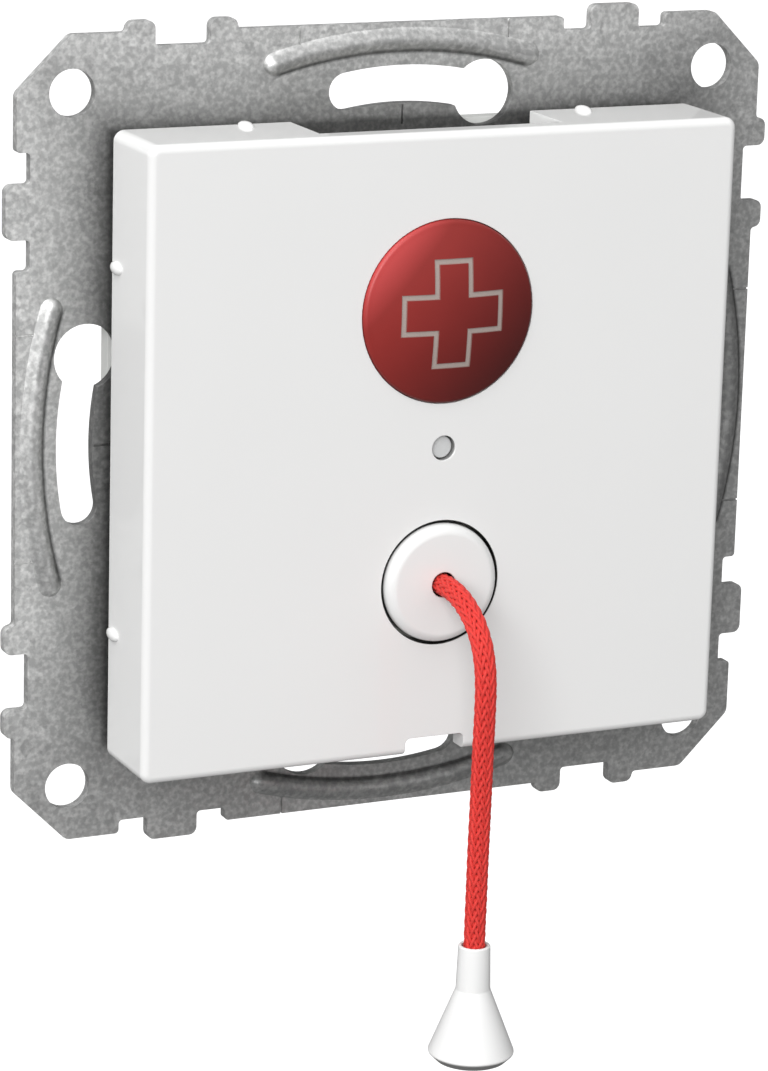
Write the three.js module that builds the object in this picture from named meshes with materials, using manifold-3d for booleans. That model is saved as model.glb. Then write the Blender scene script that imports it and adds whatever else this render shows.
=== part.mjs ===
// Emergency pull cord alarm: a flush wall insert with a steel mounting plate, a square white cover,
// a red call button, a signal lamp and a pull cord. Millimetres, +Z up. The wall is the plane y = 0,
// the front of the unit looks towards -Y, and the origin is the middle of the plate's back.
import * as THREE from 'three';
import { mergeVertices } from 'three/addons/utils/BufferGeometryUtils.js';
import Module from 'manifold-3d';

const wasm = await Module();
wasm.setup();

// Clearances
const seatGap = 0.1; // between two faces that rest on each other
const slideGap = 0.15; // around a piece that slides in a hole, on the radius
const snapGap = 0.3; // between a snap arm and what it holds
const overlap = 0.5; // how far a cutting tool reaches past what it cuts
const bond = 0.2; // how far a rib or boss sinks into the wall that carries it

// Mounting plate: one side is drawn, then turned to the other three
const plateHalf = 35.3;
const plateThickness = 1.0;
const plateCornerStart = 30.5; // where the corner's chamfer begins along a side
const tabTip = 36.25;
const notchFloor = 34.1;
const forkStart = -25.5; // two narrow tabs with a notch between them
const forkTab = 2.5;
const forkEnd = -15.5;
const keyStart = 15.45; // one wide tab between two notches
const keyNotch = 2.7;
const keyTab = 4.7;
const tabRound = 0.7;
const notchRound = 0.35;
const plateCornerRound = 1.0;
const cornerHolePlace = 30.4;
const cornerHoleRadius = 2.05;
const slotRadius = 30.0; // the slots lie on this circle, for box screws 60 mm apart
const slotWidth = 3.3;
const slotStartAngle = -10.2;
const keyholeAngle = 15.0;
const keyholeRadius = 2.9;
const beadReach = 12.25; // from a side's middle to the centre of the bead's round end
const beadHeightMiddle = 33.85;
const beadHeightEnd = 32.15;
const beadWidth = 1.75;
const beadRise = 0.8;
const plateWindowHalfWidth = 16.5;
const plateWindowHalfHeight = 19.0;
const windowRound = 1.5;

// Cover
const coverHalf = 27.5;
const coverStandoff = 10.4; // from the plate's front to the cover's face
const rimGap = 2.0; // from the plate's front to the cover's rim
const coverFaceThickness = 2.2;
const coverSideThickness = 1.8;
const coverCornerRadius = 0.95;
const coverEdgeRadius = 0.7;
const cutawayHalfWidth = 11.35;
const nubPlace = 16.0;
const nubWidth = 1.2;
const nubLength = 2.4;
const nubRise = 0.45;
const cordNotchHalfWidth = 2.8;
const cordNotchHeight = 1.5;
const cordNotchRound = 0.5;
const snapPlace = 13.0;
const snapWidth = 5.0;
const snapRibRise = 0.8;
const snapRibThickness = 0.8;

// Call button
const buttonHeight = 12.0; // above the middle of the cover
const buttonRadius = 8.0;
const buttonRimRise = 0.3;
const buttonDomeRise = 0.9;
const buttonEdgeRound = 0.4;
const buttonWall = 1.2;
const buttonLipWidth = 0.9;
const buttonLipThickness = 1.0;
const buttonStemRadius = 1.6;
const buttonTravel = 1.2;
const crossSpan = 9.5;
const crossArmWidth = 3.6;
const crossLineWidth = 0.45;
const crossDepth = 0.12;

// Signal lamp
const lensRadius = 1.0;
const lensRecess = 0.5;
const lensFlangeRadius = 1.8;
const lensFlangeThickness = 0.8;
const ledRadius = 1.5;
const ledLength = 4.0;

// Pull plunger, cord and handle
const plungerDrop = 12.0; // below the middle of the cover
const plungerRadius = 5.3;
const plungerFlatRadius = 4.4;
const plungerRise = 0.9;
const plungerShoulder = 0.75;
const plungerStemRadius = 2.2;
const plungerTailRadius = 1.8;
const plungerTailLength = 2.0;
const cordBoreRadius = 1.1;
const pullTravel = 2.0;
const plungerGuide = 0.5; // what stays in the cover's hole when the plunger is pulled out
const collarRadius = 3.6;
const collarThickness = 1.2;
const cordDiameter = 1.95;
const cordSides = 8;
const cordSteps = 48;
const innerKnotRadius = 2.0;
const innerKnotLength = 3.0;
const handleAxis = -20.55; // how far in front of the wall the handle hangs
const handleTop = -42.2;
const neckTopRadius = 1.4;
const neckEndRadius = 1.52;
const neckLength = 4.0;
const coneRadius = 3.8;
const coneLength = 5.8;
const handleChamfer = 0.7;
const knotPocketRadius = 1.95;
const knotPocketDepth = 4.5;
const outerKnotRadius = 1.7;
const outerKnotLength = 3.0;

// Carrier
const carrierHalfHeight = 24.0;
const carrierThickness = 2.1;
const wellWall = 1.05;
const bossWall = 1.0;
const guideWall = 1.2;
const snapArmThickness = 1.2;

// Springs
const springWire = 0.45;
const buttonSpringRadius = 3.3;
const buttonSpringTurns = 4;
const pullSpringRadius = 3.0;
const pullSpringTurns = 3;
const springStepsPerTurn = 8;
const springSides = 6;

// Housing and what it holds
const flangeHalf = 26.6;
const flangeFlat = 12.5; // half the length of the flange's straight sides
const flangeThickness = 1.6;
const housingFlat = 12.4;
const housingWall = 1.5;
const boardSideGap = 1.3; // from the board's side to the housing's wall
const boardEndGap = 0.5; // from the board's top or bottom edge to the housing's wall
const housingDepth = 17.0;
const rearCoverThickness = 1.5;
const rearLipDepth = 1.2;
const rearWindowMargin = 1.2;
const boardHalfWidth = 16.6;
const boardHalfHeight = 17.4;
const boardFront = 4.0;
const boardThickness = 1.6;
const boardChamfer = 5.0;
const ledgeReach = 1.1; // how far the ledge carries the board's edge
const ledgeHalfWidth = 9.0;
const ledgeThickness = 1.5;
const switchWidth = 6.0;
const callSwitchHeight = 4.5;
const callActuatorRadius = 1.3;
const callActuatorLength = 1.0;
const pullSwitchOffset = 5.6; // sideways from the cord's axis
const pullSwitchHeight = 5.0;
const pullActuatorRadius = 0.5;
const pullActuatorOffset = 2.9;
const wireCount = 4;
const wirePitch = 5.08;
const terminalHalfHeight = 5.5;
const terminalStandout = 1.4; // behind the rear cover
const terminalScrewHeight = 2.4;
const terminalScrewRadius = 1.7;
const terminalScrewPocket = 4.0;
const terminalScrewLength = 2.4;
const wireHoleHeight = -2.6;
const wireHoleWidth = 3.0;
const wireHoleDepth = 8.0;

// Screws
const assemblyScrewOffset = 0.6; // from the housing's side to the screw's middle
const assemblyScrewZ = 14.0;
const screwShankRadius = 1.0;
const screwHeadRadius = 1.9;
const screwHeadHeight = 1.4;
const screwSlotWidth = 0.5;
const screwSlotDepth = 0.6;
const assemblyScrewLength = 9.0;
const boardScrewInset = 4.6; // from the board's side to the screw's middle
const boardScrewDrop = 2.9; // from the board's top or bottom edge to the screw's middle
const boardScrewLength = 6.0;
const bossRadius = 2.4;
const bossDepth = 8.5;

// How finely round shapes are cut
const coarse = 12;
const medium = 24;
const fine = 48;
const outlineSteps = 2;
const edgeSteps = 3;
const beadSteps = 5; // round the bead's section
const domeSteps = 4;
const shoulderSteps = 3;

// Places along Y that several pieces share
const plateFront = -plateThickness;
const carrierBack = plateFront - seatGap;
const carrierFront = carrierBack - carrierThickness;
const coverFront = plateFront - coverStandoff;
const coverInside = coverFront + coverFaceThickness;
const coverRim = plateFront - rimGap;
const coverInnerHalf = coverHalf - coverSideThickness;
const carrierHalfWidth = coverInnerHalf - snapGap;
const housingFront = seatGap;
const boardBack = boardFront + boardThickness;
const rearCoverFront = housingFront + housingDepth + seatGap;
const rearCoverBack = rearCoverFront + rearCoverThickness;

const shellWhite = { color: 0xf2f2f0, roughness: 0.25, metalness: 0 };
const innerWhite = { color: 0xe4e4e0, roughness: 0.5, metalness: 0 };
const housingGrey = { color: 0xc9cac6, roughness: 0.55, metalness: 0 };
const galvanised = { color: 0x9a9b99, roughness: 0.5, metalness: 0.8 };
const bareSteel = { color: 0xb5b7ba, roughness: 0.35, metalness: 1 };
const buttonRed = { color: 0xa3211f, roughness: 0.35, metalness: 0 };
const cordRed = { color: 0xe23c36, roughness: 0.85, metalness: 0 };
const lensGrey = { color: 0xb9bcbc, roughness: 0.2, metalness: 0 };
const boardGreen = { color: 0x1f5a35, roughness: 0.5, metalness: 0 };
const switchBlack = { color: 0x242424, roughness: 0.5, metalness: 0 };
const terminalGreen = { color: 0x3d7a4c, roughness: 0.5, metalness: 0 };

const part = new THREE.Group();

// Helpers

// One closed skin: shared corners merged, and triangles without area left out
function weld(geometry) {
  geometry.deleteAttribute('normal');
  geometry.deleteAttribute('uv');
  const welded = mergeVertices(geometry);
  const corners = welded.index.array;
  const kept = [];
  for (let i = 0; i < corners.length; i += 3) {
    const [a, b, c] = corners.slice(i, i + 3);
    if (a !== b && b !== c && c !== a) kept.push(a, b, c);
  }
  welded.setIndex(kept);
  return welded;
}

// The same form as a solid that can be joined and cut; a solid stays as it is
function solid(form) {
  if (!(form instanceof THREE.BufferGeometry)) return form;
  const skin = weld(form);
  const vertProperties = new Float32Array(skin.attributes.position.array);
  const triVerts = new Uint32Array(skin.index.array);
  return new wasm.Manifold(new wasm.Mesh({ numProp: 3, vertProperties, triVerts }));
}

function join(...forms) {
  return forms.map(solid).reduce((sum, next) => sum.add(next));
}

function cut(form, ...tools) {
  return tools.map(solid).reduce((rest, tool) => rest.subtract(tool), solid(form));
}

function surface(body) {
  const mesh = body.getMesh();
  const geometry = new THREE.BufferGeometry();
  geometry.setAttribute('position', new THREE.BufferAttribute(mesh.vertProperties, 3));
  geometry.setIndex(new THREE.BufferAttribute(mesh.triVerts, 1));
  return geometry;
}

function addPiece(name, shape, finish) {
  const geometry = shape instanceof THREE.BufferGeometry ? weld(shape) : surface(shape);
  geometry.computeVertexNormals();
  const mesh = new THREE.Mesh(geometry, new THREE.MeshStandardMaterial(finish));
  mesh.name = name;
  part.add(mesh);
  return mesh;
}

// A shape drawn in X and Z, given its thickness along Y
function slab(shape, front, back) {
  const geometry = new THREE.ExtrudeGeometry(shape, {
    depth: back - front,
    bevelEnabled: false,
    curveSegments: outlineSteps,
  });
  return geometry.rotateX(Math.PI / 2).translate(0, back, 0);
}

// A body turned about an axis along Y: the profile is [radius, y], from the front on the axis
// outwards, backwards and home again
function turned(profile, x, z, segments) {
  const points = profile.map(([radius, y]) => new THREE.Vector2(radius, y));
  return new THREE.LatheGeometry(points, segments).translate(x, 0, z);
}

function disc(radius, x, z, front, back, segments) {
  return turned([[0, front], [radius, front], [radius, back], [0, back]], x, z, segments);
}

function block(x0, x1, front, back, z0, z1) {
  const geometry = new THREE.BoxGeometry(x1 - x0, back - front, z1 - z0);
  return geometry.translate((x0 + x1) / 2, (front + back) / 2, (z0 + z1) / 2);
}

// An outline whose corners are [x, z, rounding]
function outline(corners) {
  const shape = new THREE.Shape();
  corners.forEach(([x, z, rounding = 0], i) => {
    const corner = new THREE.Vector2(x, z);
    const before = new THREE.Vector2(...corners.at(i - 1)).sub(corner).normalize();
    const after = new THREE.Vector2(...corners[(i + 1) % corners.length]).sub(corner).normalize();
    const reach = rounding / Math.tan(Math.acos(before.dot(after)) / 2);
    const start = corner.clone().addScaledVector(before, reach);
    const end = corner.clone().addScaledVector(after, reach);
    if (i === 0) shape.moveTo(start.x, start.y);
    else shape.lineTo(start.x, start.y);
    if (rounding > 0) shape.quadraticCurveTo(x, z, end.x, end.y);
  });
  shape.closePath();
  return shape;
}

function rectangle(halfWidth, halfHeight, rounding) {
  return outline([
    [-halfWidth, -halfHeight, rounding],
    [halfWidth, -halfHeight, rounding],
    [halfWidth, halfHeight, rounding],
    [-halfWidth, halfHeight, rounding],
  ]);
}

// A square with its corners cut off: half is to its sides, flat is half a side's length
function chamferedSquare(half, flat) {
  return outline([
    [flat, half], [half, flat], [half, -flat], [flat, -half],
    [-flat, -half], [-half, -flat], [-half, flat], [-flat, half],
  ]);
}

// A closed skin through rings of equally many points, with a flat fan over each end
function loft(rings) {
  const count = rings[0].length;
  const last = (rings.length - 1) * count;
  const faces = [];
  for (let start = 0; start < last; start += count) {
    for (let k = 0; k < count; k++) {
      const a = start + k;
      const b = start + (k + 1) % count;
      faces.push(a, b, b + count, a, b + count, a + count);
    }
  }
  for (let k = 1; k < count - 1; k++) {
    faces.push(0, k + 1, k);
    faces.push(last, last + k, last + k + 1);
  }
  const geometry = new THREE.BufferGeometry().setFromPoints(rings.flat());
  geometry.setIndex(faces);
  return geometry;
}

// Turns a drawing of the plate's top side to side number 0 to 3, clockwise from the top
function turnToSide(side, along, out) {
  const angle = side * Math.PI / 2;
  const x = along * Math.cos(angle) + out * Math.sin(angle);
  const z = out * Math.cos(angle) - along * Math.sin(angle);
  return [x, z];
}

const fourSides = [0, 1, 2, 3];

// Mounting plate

function plateOutline() {
  const keyTabStart = keyStart + keyNotch;
  const keyTabEnd = keyTabStart + keyTab;
  const keyEnd = keyTabEnd + keyNotch;
  const side = [
    [-plateCornerStart, plateHalf, plateCornerRound],
    [forkStart, plateHalf, notchRound],
    [forkStart, tabTip, tabRound],
    [forkStart + forkTab, tabTip, tabRound],
    [forkStart + forkTab, notchFloor, notchRound],
    [forkEnd - forkTab, notchFloor, notchRound],
    [forkEnd - forkTab, tabTip, tabRound],
    [forkEnd, tabTip, tabRound],
    [forkEnd, plateHalf, notchRound],
    [keyStart, plateHalf, notchRound],
    [keyStart, notchFloor, notchRound],
    [keyTabStart, notchFloor, notchRound],
    [keyTabStart, tabTip, tabRound],
    [keyTabEnd, tabTip, tabRound],
    [keyTabEnd, notchFloor, notchRound],
    [keyEnd, notchFloor, notchRound],
    [keyEnd, plateHalf, notchRound],
    [plateCornerStart, plateHalf, plateCornerRound],
  ];
  return outline(fourSides.flatMap((turn) => side.map(
    ([along, out, rounding]) => [...turnToSide(turn, along, out), rounding])));
}

// A slot bent along the circle of the box screws, with round ends
function slotTool(side) {
  const start = THREE.MathUtils.degToRad(90 - slotStartAngle);
  const end = THREE.MathUtils.degToRad(90 - keyholeAngle);
  const half = slotWidth / 2;
  const shape = new THREE.Shape();
  const turn = -side * Math.PI / 2;
  const endPoint = (angle) => [slotRadius * Math.cos(angle + turn), slotRadius * Math.sin(angle + turn)];
  shape.absarc(0, 0, slotRadius + half, end + turn, start + turn, false);
  shape.absarc(...endPoint(start), half, start + turn, start + turn + Math.PI, false);
  shape.absarc(0, 0, slotRadius - half, start + turn, end + turn, true);
  shape.absarc(...endPoint(end), half, end + turn + Math.PI, end + turn + 2 * Math.PI, false);
  return slab(shape, plateFront - overlap, overlap);
}

function keyholeTool(side) {
  const angle = THREE.MathUtils.degToRad(keyholeAngle);
  const [x, z] = turnToSide(side, slotRadius * Math.sin(angle), slotRadius * Math.cos(angle));
  return disc(keyholeRadius, x, z, plateFront - overlap, overlap, medium);
}

// The pressed bead: a half-round ridge along an arc, tapered to both ends. Its hollow at the back
// has the same form, one sheet thickness behind.
function beadRidge(side, halfWidth, rise, front, foot) {
  const drop = beadHeightMiddle - beadHeightEnd;
  const arcRadius = (beadReach ** 2 + drop ** 2) / (2 * drop);
  const halfAngle = Math.asin(beadReach / arcRadius);
  const tipAngle = halfWidth / arcRadius;
  const tipSize = (u) => Math.sqrt(1.02 - u * u); // never quite nothing, so the tip stays closed
  const tip = [1, 0.85, 0.5];
  const stations = [
    ...tip.map((u) => [-halfAngle - u * tipAngle, tipSize(u)]),
    ...[-1, -0.6, -0.2, 0.2, 0.6, 1].map((u) => [halfAngle * u, 1]),
    ...tip.toReversed().map((u) => [halfAngle + u * tipAngle, tipSize(u)]),
  ];
  const rings = [];
  for (const [angle, size] of stations) {
    const ring = [];
    for (let k = 0; k <= beadSteps; k++) {
      const turn = Math.PI * k / beadSteps;
      const radius = arcRadius + halfWidth * size * Math.cos(turn);
      const out = beadHeightMiddle - arcRadius + radius * Math.cos(angle);
      const [x, z] = turnToSide(side, radius * Math.sin(angle), out);
      ring.push(new THREE.Vector3(x, front - rise * size * Math.sin(turn), z));
    }
    for (const edge of [-1, 1]) {
      const radius = arcRadius + edge * halfWidth * size;
      const out = beadHeightMiddle - arcRadius + radius * Math.cos(angle);
      const [x, z] = turnToSide(side, radius * Math.sin(angle), out);
      ring.push(new THREE.Vector3(x, foot, z));
    }
    rings.push(ring);
  }
  return loft(rings);
}

function makePlate() {
  const window = rectangle(plateWindowHalfWidth, plateWindowHalfHeight, windowRound);
  const beads = fourSides.map((side) => beadRidge(side, beadWidth / 2, beadRise, plateFront,
    plateFront + bond));
  const hollowHalf = (beadWidth - plateThickness) / 2;
  const cornerHoles = fourSides.map((side) => {
    const [x, z] = turnToSide(side, cornerHolePlace, cornerHolePlace);
    return disc(cornerHoleRadius, x, z, plateFront - overlap, overlap, medium);
  });
  const screwHoles = screwPlaces.map(([x, z]) => disc(
    screwShankRadius + slideGap, x, z, plateFront - overlap, overlap, coarse));
  return cut(
    join(slab(plateOutline(), plateFront, 0), ...beads),
    slab(window, plateFront - overlap, overlap),
    ...fourSides.map(slotTool),
    ...fourSides.map(keyholeTool),
    ...fourSides.map((side) => beadRidge(side, hollowHalf, beadRise, 0, overlap)),
    ...cornerHoles,
    ...screwHoles,
  );
}

// Cover

function roundedSquare(half, rounding, y) {
  const ring = [];
  for (const side of fourSides) {
    for (let k = 0; k <= edgeSteps; k++) {
      const angle = Math.PI / 2 * k / edgeSteps;
      const along = half - rounding + rounding * Math.sin(angle);
      const out = half - rounding + rounding * Math.cos(angle);
      const [x, z] = turnToSide(side, along, out);
      ring.push(new THREE.Vector3(x, y, z));
    }
  }
  return ring;
}

function coverShell() {
  const rings = [];
  for (let k = 0; k <= edgeSteps; k++) {
    const angle = Math.PI / 2 * k / edgeSteps;
    const inset = coverEdgeRadius * (1 - Math.sin(angle));
    const y = coverFront + coverEdgeRadius * (1 - Math.cos(angle));
    rings.push(roundedSquare(coverHalf - inset, coverCornerRadius - inset, y));
  }
  rings.push(roundedSquare(coverHalf, coverCornerRadius, coverRim));
  return loft(rings);
}

function coverNub(side, place) {
  const nub = new THREE.SphereGeometry(1, 8, 6);
  nub.scale(nubWidth / 2, nubLength / 2, nubRise);
  nub.translate(place, coverRim - nubLength / 2, coverHalf);
  return nub.rotateY(side * Math.PI / 2);
}

// The groove for the cord's slack at the bottom of the face
function cordNotchTool() {
  const top = cordNotchHeight - coverHalf;
  const bottom = -coverHalf - overlap;
  const shape = outline([
    [-cordNotchHalfWidth, bottom],
    [cordNotchHalfWidth, bottom],
    [cordNotchHalfWidth, top, cordNotchRound],
    [-cordNotchHalfWidth, top, cordNotchRound],
  ]);
  return slab(shape, coverFront - overlap, coverInside + overlap);
}

function makeCover() {
  const pocketTop = coverInnerHalf;
  const nubs = fourSides.flatMap((side) => [-nubPlace, nubPlace].map((place) => coverNub(side, place)));
  const ribBack = carrierFront - snapRibThickness - snapGap;
  const ribs = [-1, 1].flatMap((side) => [-snapPlace, snapPlace].map((place) => {
    const inner = side * (coverInnerHalf - snapRibRise);
    const outer = side * (coverInnerHalf + bond);
    return block(Math.min(inner, outer), Math.max(inner, outer), ribBack - snapRibThickness, ribBack,
      place - snapWidth / 2, place + snapWidth / 2);
  }));
  const hollow = block(-coverInnerHalf, coverInnerHalf, coverInside, coverRim + overlap,
    -pocketTop, pocketTop);
  const shell = cut(join(coverShell(), ...nubs), hollow);
  const withRibs = join(shell, ...ribs);
  const cutaway = (side) => block(-cutawayHalfWidth, cutawayHalfWidth, coverInside,
    coverRim + overlap, Math.min(side * (pocketTop - overlap), side * (coverHalf + overlap)),
    Math.max(side * (pocketTop - overlap), side * (coverHalf + overlap)));
  const front = coverFront - overlap;
  const back = coverInside + overlap;
  return cut(
    withRibs,
    cutaway(1),
    cutaway(-1),
    cordNotchTool(),
    disc(buttonRadius + slideGap, 0, buttonHeight, front, back, fine),
    disc(lensRadius + seatGap, 0, 0, front, back, medium),
    disc(plungerRadius + slideGap, 0, -plungerDrop, front, back, fine),
  );
}

// Call button

const buttonLipFront = coverInside + seatGap;
const buttonLipBack = buttonLipFront + buttonLipThickness;
const buttonApex = coverFront - buttonRimRise - buttonDomeRise;
const buttonCeiling = coverFront + buttonWall;
const buttonStemEnd = boardFront - callSwitchHeight - callActuatorLength - buttonTravel - seatGap;

// The dome's front surface as profile points, from the apex out to the rim
function domeProfile(shift) {
  const rim = buttonRadius - buttonEdgeRound;
  const sphere = (rim ** 2 + buttonDomeRise ** 2) / (2 * buttonDomeRise);
  const points = [];
  for (let k = 0; k <= domeSteps; k++) {
    const radius = rim * k / domeSteps;
    points.push([radius, buttonApex + sphere - Math.sqrt(sphere ** 2 - radius ** 2) + shift]);
  }
  return points;
}

// The cross as a line drawn round its outline
function crossOutline() {
  const corners = (inset) => {
    const reach = crossSpan / 2 - inset;
    const arm = crossArmWidth / 2 - inset;
    return fourSides.flatMap((side) => [[-arm, arm], [-arm, reach], [arm, reach]].map(
      ([along, out]) => turnToSide(side, along, out)));
  };
  const shape = outline(corners(0));
  shape.holes.push(outline(corners(crossLineWidth).reverse()));
  return shape;
}

function makeButton() {
  const edge = coverFront - buttonRimRise + buttonEdgeRound;
  const inner = buttonRadius - buttonWall;
  const cap = turned([
    ...domeProfile(0),
    [buttonRadius - buttonEdgeRound * 0.3, edge - buttonEdgeRound * 0.7],
    [buttonRadius, edge],
    [buttonRadius, buttonLipFront],
    [buttonRadius + buttonLipWidth, buttonLipFront],
    [buttonRadius + buttonLipWidth, buttonLipBack],
    [inner, buttonLipBack],
    [inner, buttonCeiling],
    [buttonStemRadius, buttonCeiling],
    [buttonStemRadius, buttonStemEnd],
    [0, buttonStemEnd],
  ], 0, buttonHeight, fine);
  const bed = turned([...domeProfile(crossDepth), [buttonRadius, coverFront + overlap],
    [0, coverFront + overlap]], 0, buttonHeight, fine);
  const line = slab(crossOutline(), buttonApex - overlap, coverFront).translate(0, 0, buttonHeight);
  return cut(cap, cut(line, bed));
}

// Signal lamp

const lensFront = coverFront + lensRecess;
const lensFlangeFront = coverInside + seatGap;
const lensFlangeBack = lensFlangeFront + lensFlangeThickness;
const ledFront = boardFront - seatGap - ledLength;

function makeLightGuide() {
  const end = ledFront - snapGap;
  return turned([
    [0, lensFront],
    [lensRadius, lensFront],
    [lensRadius, lensFlangeFront],
    [lensFlangeRadius, lensFlangeFront],
    [lensFlangeRadius, lensFlangeBack],
    [lensRadius, lensFlangeBack],
    [lensRadius, end],
    [0, end],
  ], 0, 0, medium);
}

function makeLed() {
  const back = boardFront - seatGap;
  const shoulder = ledFront + ledRadius / 2;
  return turned([
    [0, ledFront],
    [ledRadius * 0.6, ledFront + ledRadius * 0.1],
    [ledRadius, shoulder],
    [ledRadius, back],
    [0, back],
  ], 0, 0, coarse);
}

// Pull plunger, its collar, the cord and the handle

const plungerFront = coverFront - plungerRise;
const plungerBack = coverFront + pullTravel + plungerGuide;
const collarBack = boardFront - pullSwitchHeight - callActuatorLength - seatGap;
const collarFront = collarBack - collarThickness;
const tailStart = collarFront - seatGap;
const tailEnd = tailStart + plungerTailLength;
const innerKnotFront = tailEnd + seatGap;

function makePlunger() {
  const drop = plungerRadius - plungerFlatRadius;
  const shoulder = [];
  for (let k = 1; k <= shoulderSteps; k++) {
    const angle = Math.PI / 2 * k / shoulderSteps;
    shoulder.push([plungerFlatRadius + drop * Math.sin(angle),
      plungerFront + plungerShoulder * (1 - Math.cos(angle))]);
  }
  const bore = cordBoreRadius;
  return turned([
    [bore, plungerFront],
    [plungerFlatRadius, plungerFront],
    ...shoulder,
    [plungerRadius, plungerBack],
    [plungerStemRadius, plungerBack],
    [plungerStemRadius, tailStart],
    [plungerTailRadius, tailStart],
    [plungerTailRadius, tailEnd],
    [bore, tailEnd],
    [bore, plungerFront],
  ], 0, -plungerDrop, fine);
}

function makeCollar() {
  const inner = plungerTailRadius + seatGap;
  return turned([
    [inner, collarFront],
    [collarRadius, collarFront],
    [collarRadius, collarBack],
    [inner, collarBack],
    [inner, collarFront],
  ], 0, -plungerDrop, medium);
}

// The cord's route, chosen by hand: straight out of the plunger, over and down into the handle
const cordRoute = [
  [0, -1.9, -12.0],
  [0, -5.5, -12.0],
  [0, -9.0, -12.0],
  [0, -12.3, -12.0],
  [0, -13.6, -12.0],
  [0, -15.0, -12.2],
  [0, -16.4, -12.6],
  [0, -17.8, -13.25],
  [0, -19.1, -14.2],
  [0, -20.15, -15.5],
  [0, -20.8, -17.1],
  [0, -21.05, -18.9],
  [0, -21.05, -21.0],
  [0, -20.95, -24.0],
  [0, -20.85, -27.5],
  [0, -20.75, -31.0],
  [0, -20.65, -34.5],
  [0, -20.6, -38.0],
  [0, -20.55, -40.5],
  [0, -20.55, -43.0],
  [0, -20.55, -45.5],
  [0, -20.55, -47.9],
];

function makeCord() {
  const route = new THREE.CatmullRomCurve3(cordRoute.map((point) => new THREE.Vector3(...point)));
  const section = new THREE.Shape();
  section.absarc(0, 0, cordDiameter / 2, 0, 2 * Math.PI, false);
  return new THREE.ExtrudeGeometry(section, {
    extrudePath: route,
    steps: cordSteps,
    curveSegments: cordSides / 2,
  });
}

function knot(radius, length, segments) {
  const profile = [[0, 0], [0.62, 0.04], [0.92, 0.2], [1, 0.42], [0.9, 0.55], [1, 0.7], [0.75, 0.93],
    [0, 1]];
  const points = profile.map(([share, along]) => new THREE.Vector2(share * radius, along * length));
  return new THREE.LatheGeometry(points, segments);
}

function makeInnerKnot() {
  return knot(innerKnotRadius, innerKnotLength, coarse).translate(0, innerKnotFront, -plungerDrop);
}

const neckEnd = handleTop - neckLength;
const coneEnd = neckEnd - coneLength;
const handleEnd = coneEnd - handleChamfer;
const pocketEnd = handleEnd + knotPocketDepth;

// Profiles of what hangs on the cord are [radius, z], from the bottom up
function hanging(profile, segments) {
  const points = profile.map(([radius, z]) => new THREE.Vector2(radius, z));
  return new THREE.LatheGeometry(points, segments).rotateX(Math.PI / 2).translate(0, handleAxis, 0);
}

function makeHandle() {
  const neckRound = (neckTopRadius - cordBoreRadius) / 2;
  return hanging([
    [knotPocketRadius, handleEnd],
    [coneRadius - handleChamfer, handleEnd],
    [coneRadius - handleChamfer * 0.3, handleEnd + handleChamfer * 0.45],
    [coneRadius, coneEnd],
    [neckEndRadius, neckEnd],
    [neckTopRadius, handleTop - neckRound],
    [neckTopRadius - neckRound, handleTop],
    [cordBoreRadius, handleTop],
    [cordBoreRadius, pocketEnd],
    [knotPocketRadius, pocketEnd],
    [knotPocketRadius, handleEnd],
  ], medium);
}

function makeOuterKnot() {
  const bottom = cordRoute.at(-1)[2] - seatGap - outerKnotLength;
  return knot(outerKnotRadius, outerKnotLength, coarse).rotateX(Math.PI / 2)
    .translate(0, handleAxis, bottom);
}

// Carrier

const wellRadius = buttonRadius + buttonLipWidth + slideGap;
const wellFront = buttonLipBack - 0.5;
const guideFront = plungerBack + snapGap;
const springSeat = guideFront + guideWall;
const collarWell = collarRadius + slideGap;

// An arm that stands up from the carrier, with a barb in front of the cover's rib
function snapArm(side, place) {
  const ribBack = carrierFront - snapRibThickness - snapGap;
  const barbBack = ribBack - snapRibThickness - seatGap;
  const barbFront = barbBack - 1.0;
  const outer = coverInnerHalf - snapRibRise - snapGap;
  const inner = outer - snapArmThickness;
  const tip = coverInnerHalf - snapGap;
  const from = (x0, x1) => [Math.min(side * x0, side * x1), Math.max(side * x0, side * x1)];
  const half = snapWidth / 2 - seatGap;
  return [
    block(...from(inner, outer), barbFront, carrierFront + bond, place - half, place + half),
    block(...from(outer - bond, tip), barbFront, barbBack, place - half, place + half),
  ];
}

function makeCarrier() {
  const base = slab(rectangle(carrierHalfWidth, carrierHalfHeight, 1.5), carrierFront, carrierBack);
  const arms = [-1, 1].flatMap((side) => [-snapPlace, snapPlace].flatMap(
    (place) => snapArm(side, place)));
  const body = join(
    base,
    disc(wellRadius + wellWall, 0, buttonHeight, wellFront, carrierFront + bond, fine),
    disc(lensRadius + seatGap + bossWall, 0, 0, lensFlangeBack + seatGap, carrierFront + bond, medium),
    disc(collarWell + bossWall, 0, -plungerDrop, guideFront, carrierFront + bond, medium),
    ...arms,
  );
  const screwHoles = screwPlaces.map(([x, z]) => disc(
    screwShankRadius + slideGap, x, z, carrierFront - overlap, carrierBack + overlap, coarse));
  return cut(
    body,
    disc(wellRadius, 0, buttonHeight, wellFront - overlap, carrierFront, fine),
    disc(buttonStemRadius + slideGap, 0, buttonHeight, carrierFront - overlap, carrierBack + overlap,
      medium),
    disc(lensRadius + seatGap, 0, 0, coverFront, carrierBack + overlap, medium),
    disc(plungerStemRadius + slideGap, 0, -plungerDrop, guideFront - overlap, springSeat + overlap,
      fine),
    disc(collarWell, 0, -plungerDrop, springSeat, carrierBack + overlap, medium),
    ...screwHoles,
  );
}

// Springs

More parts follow.
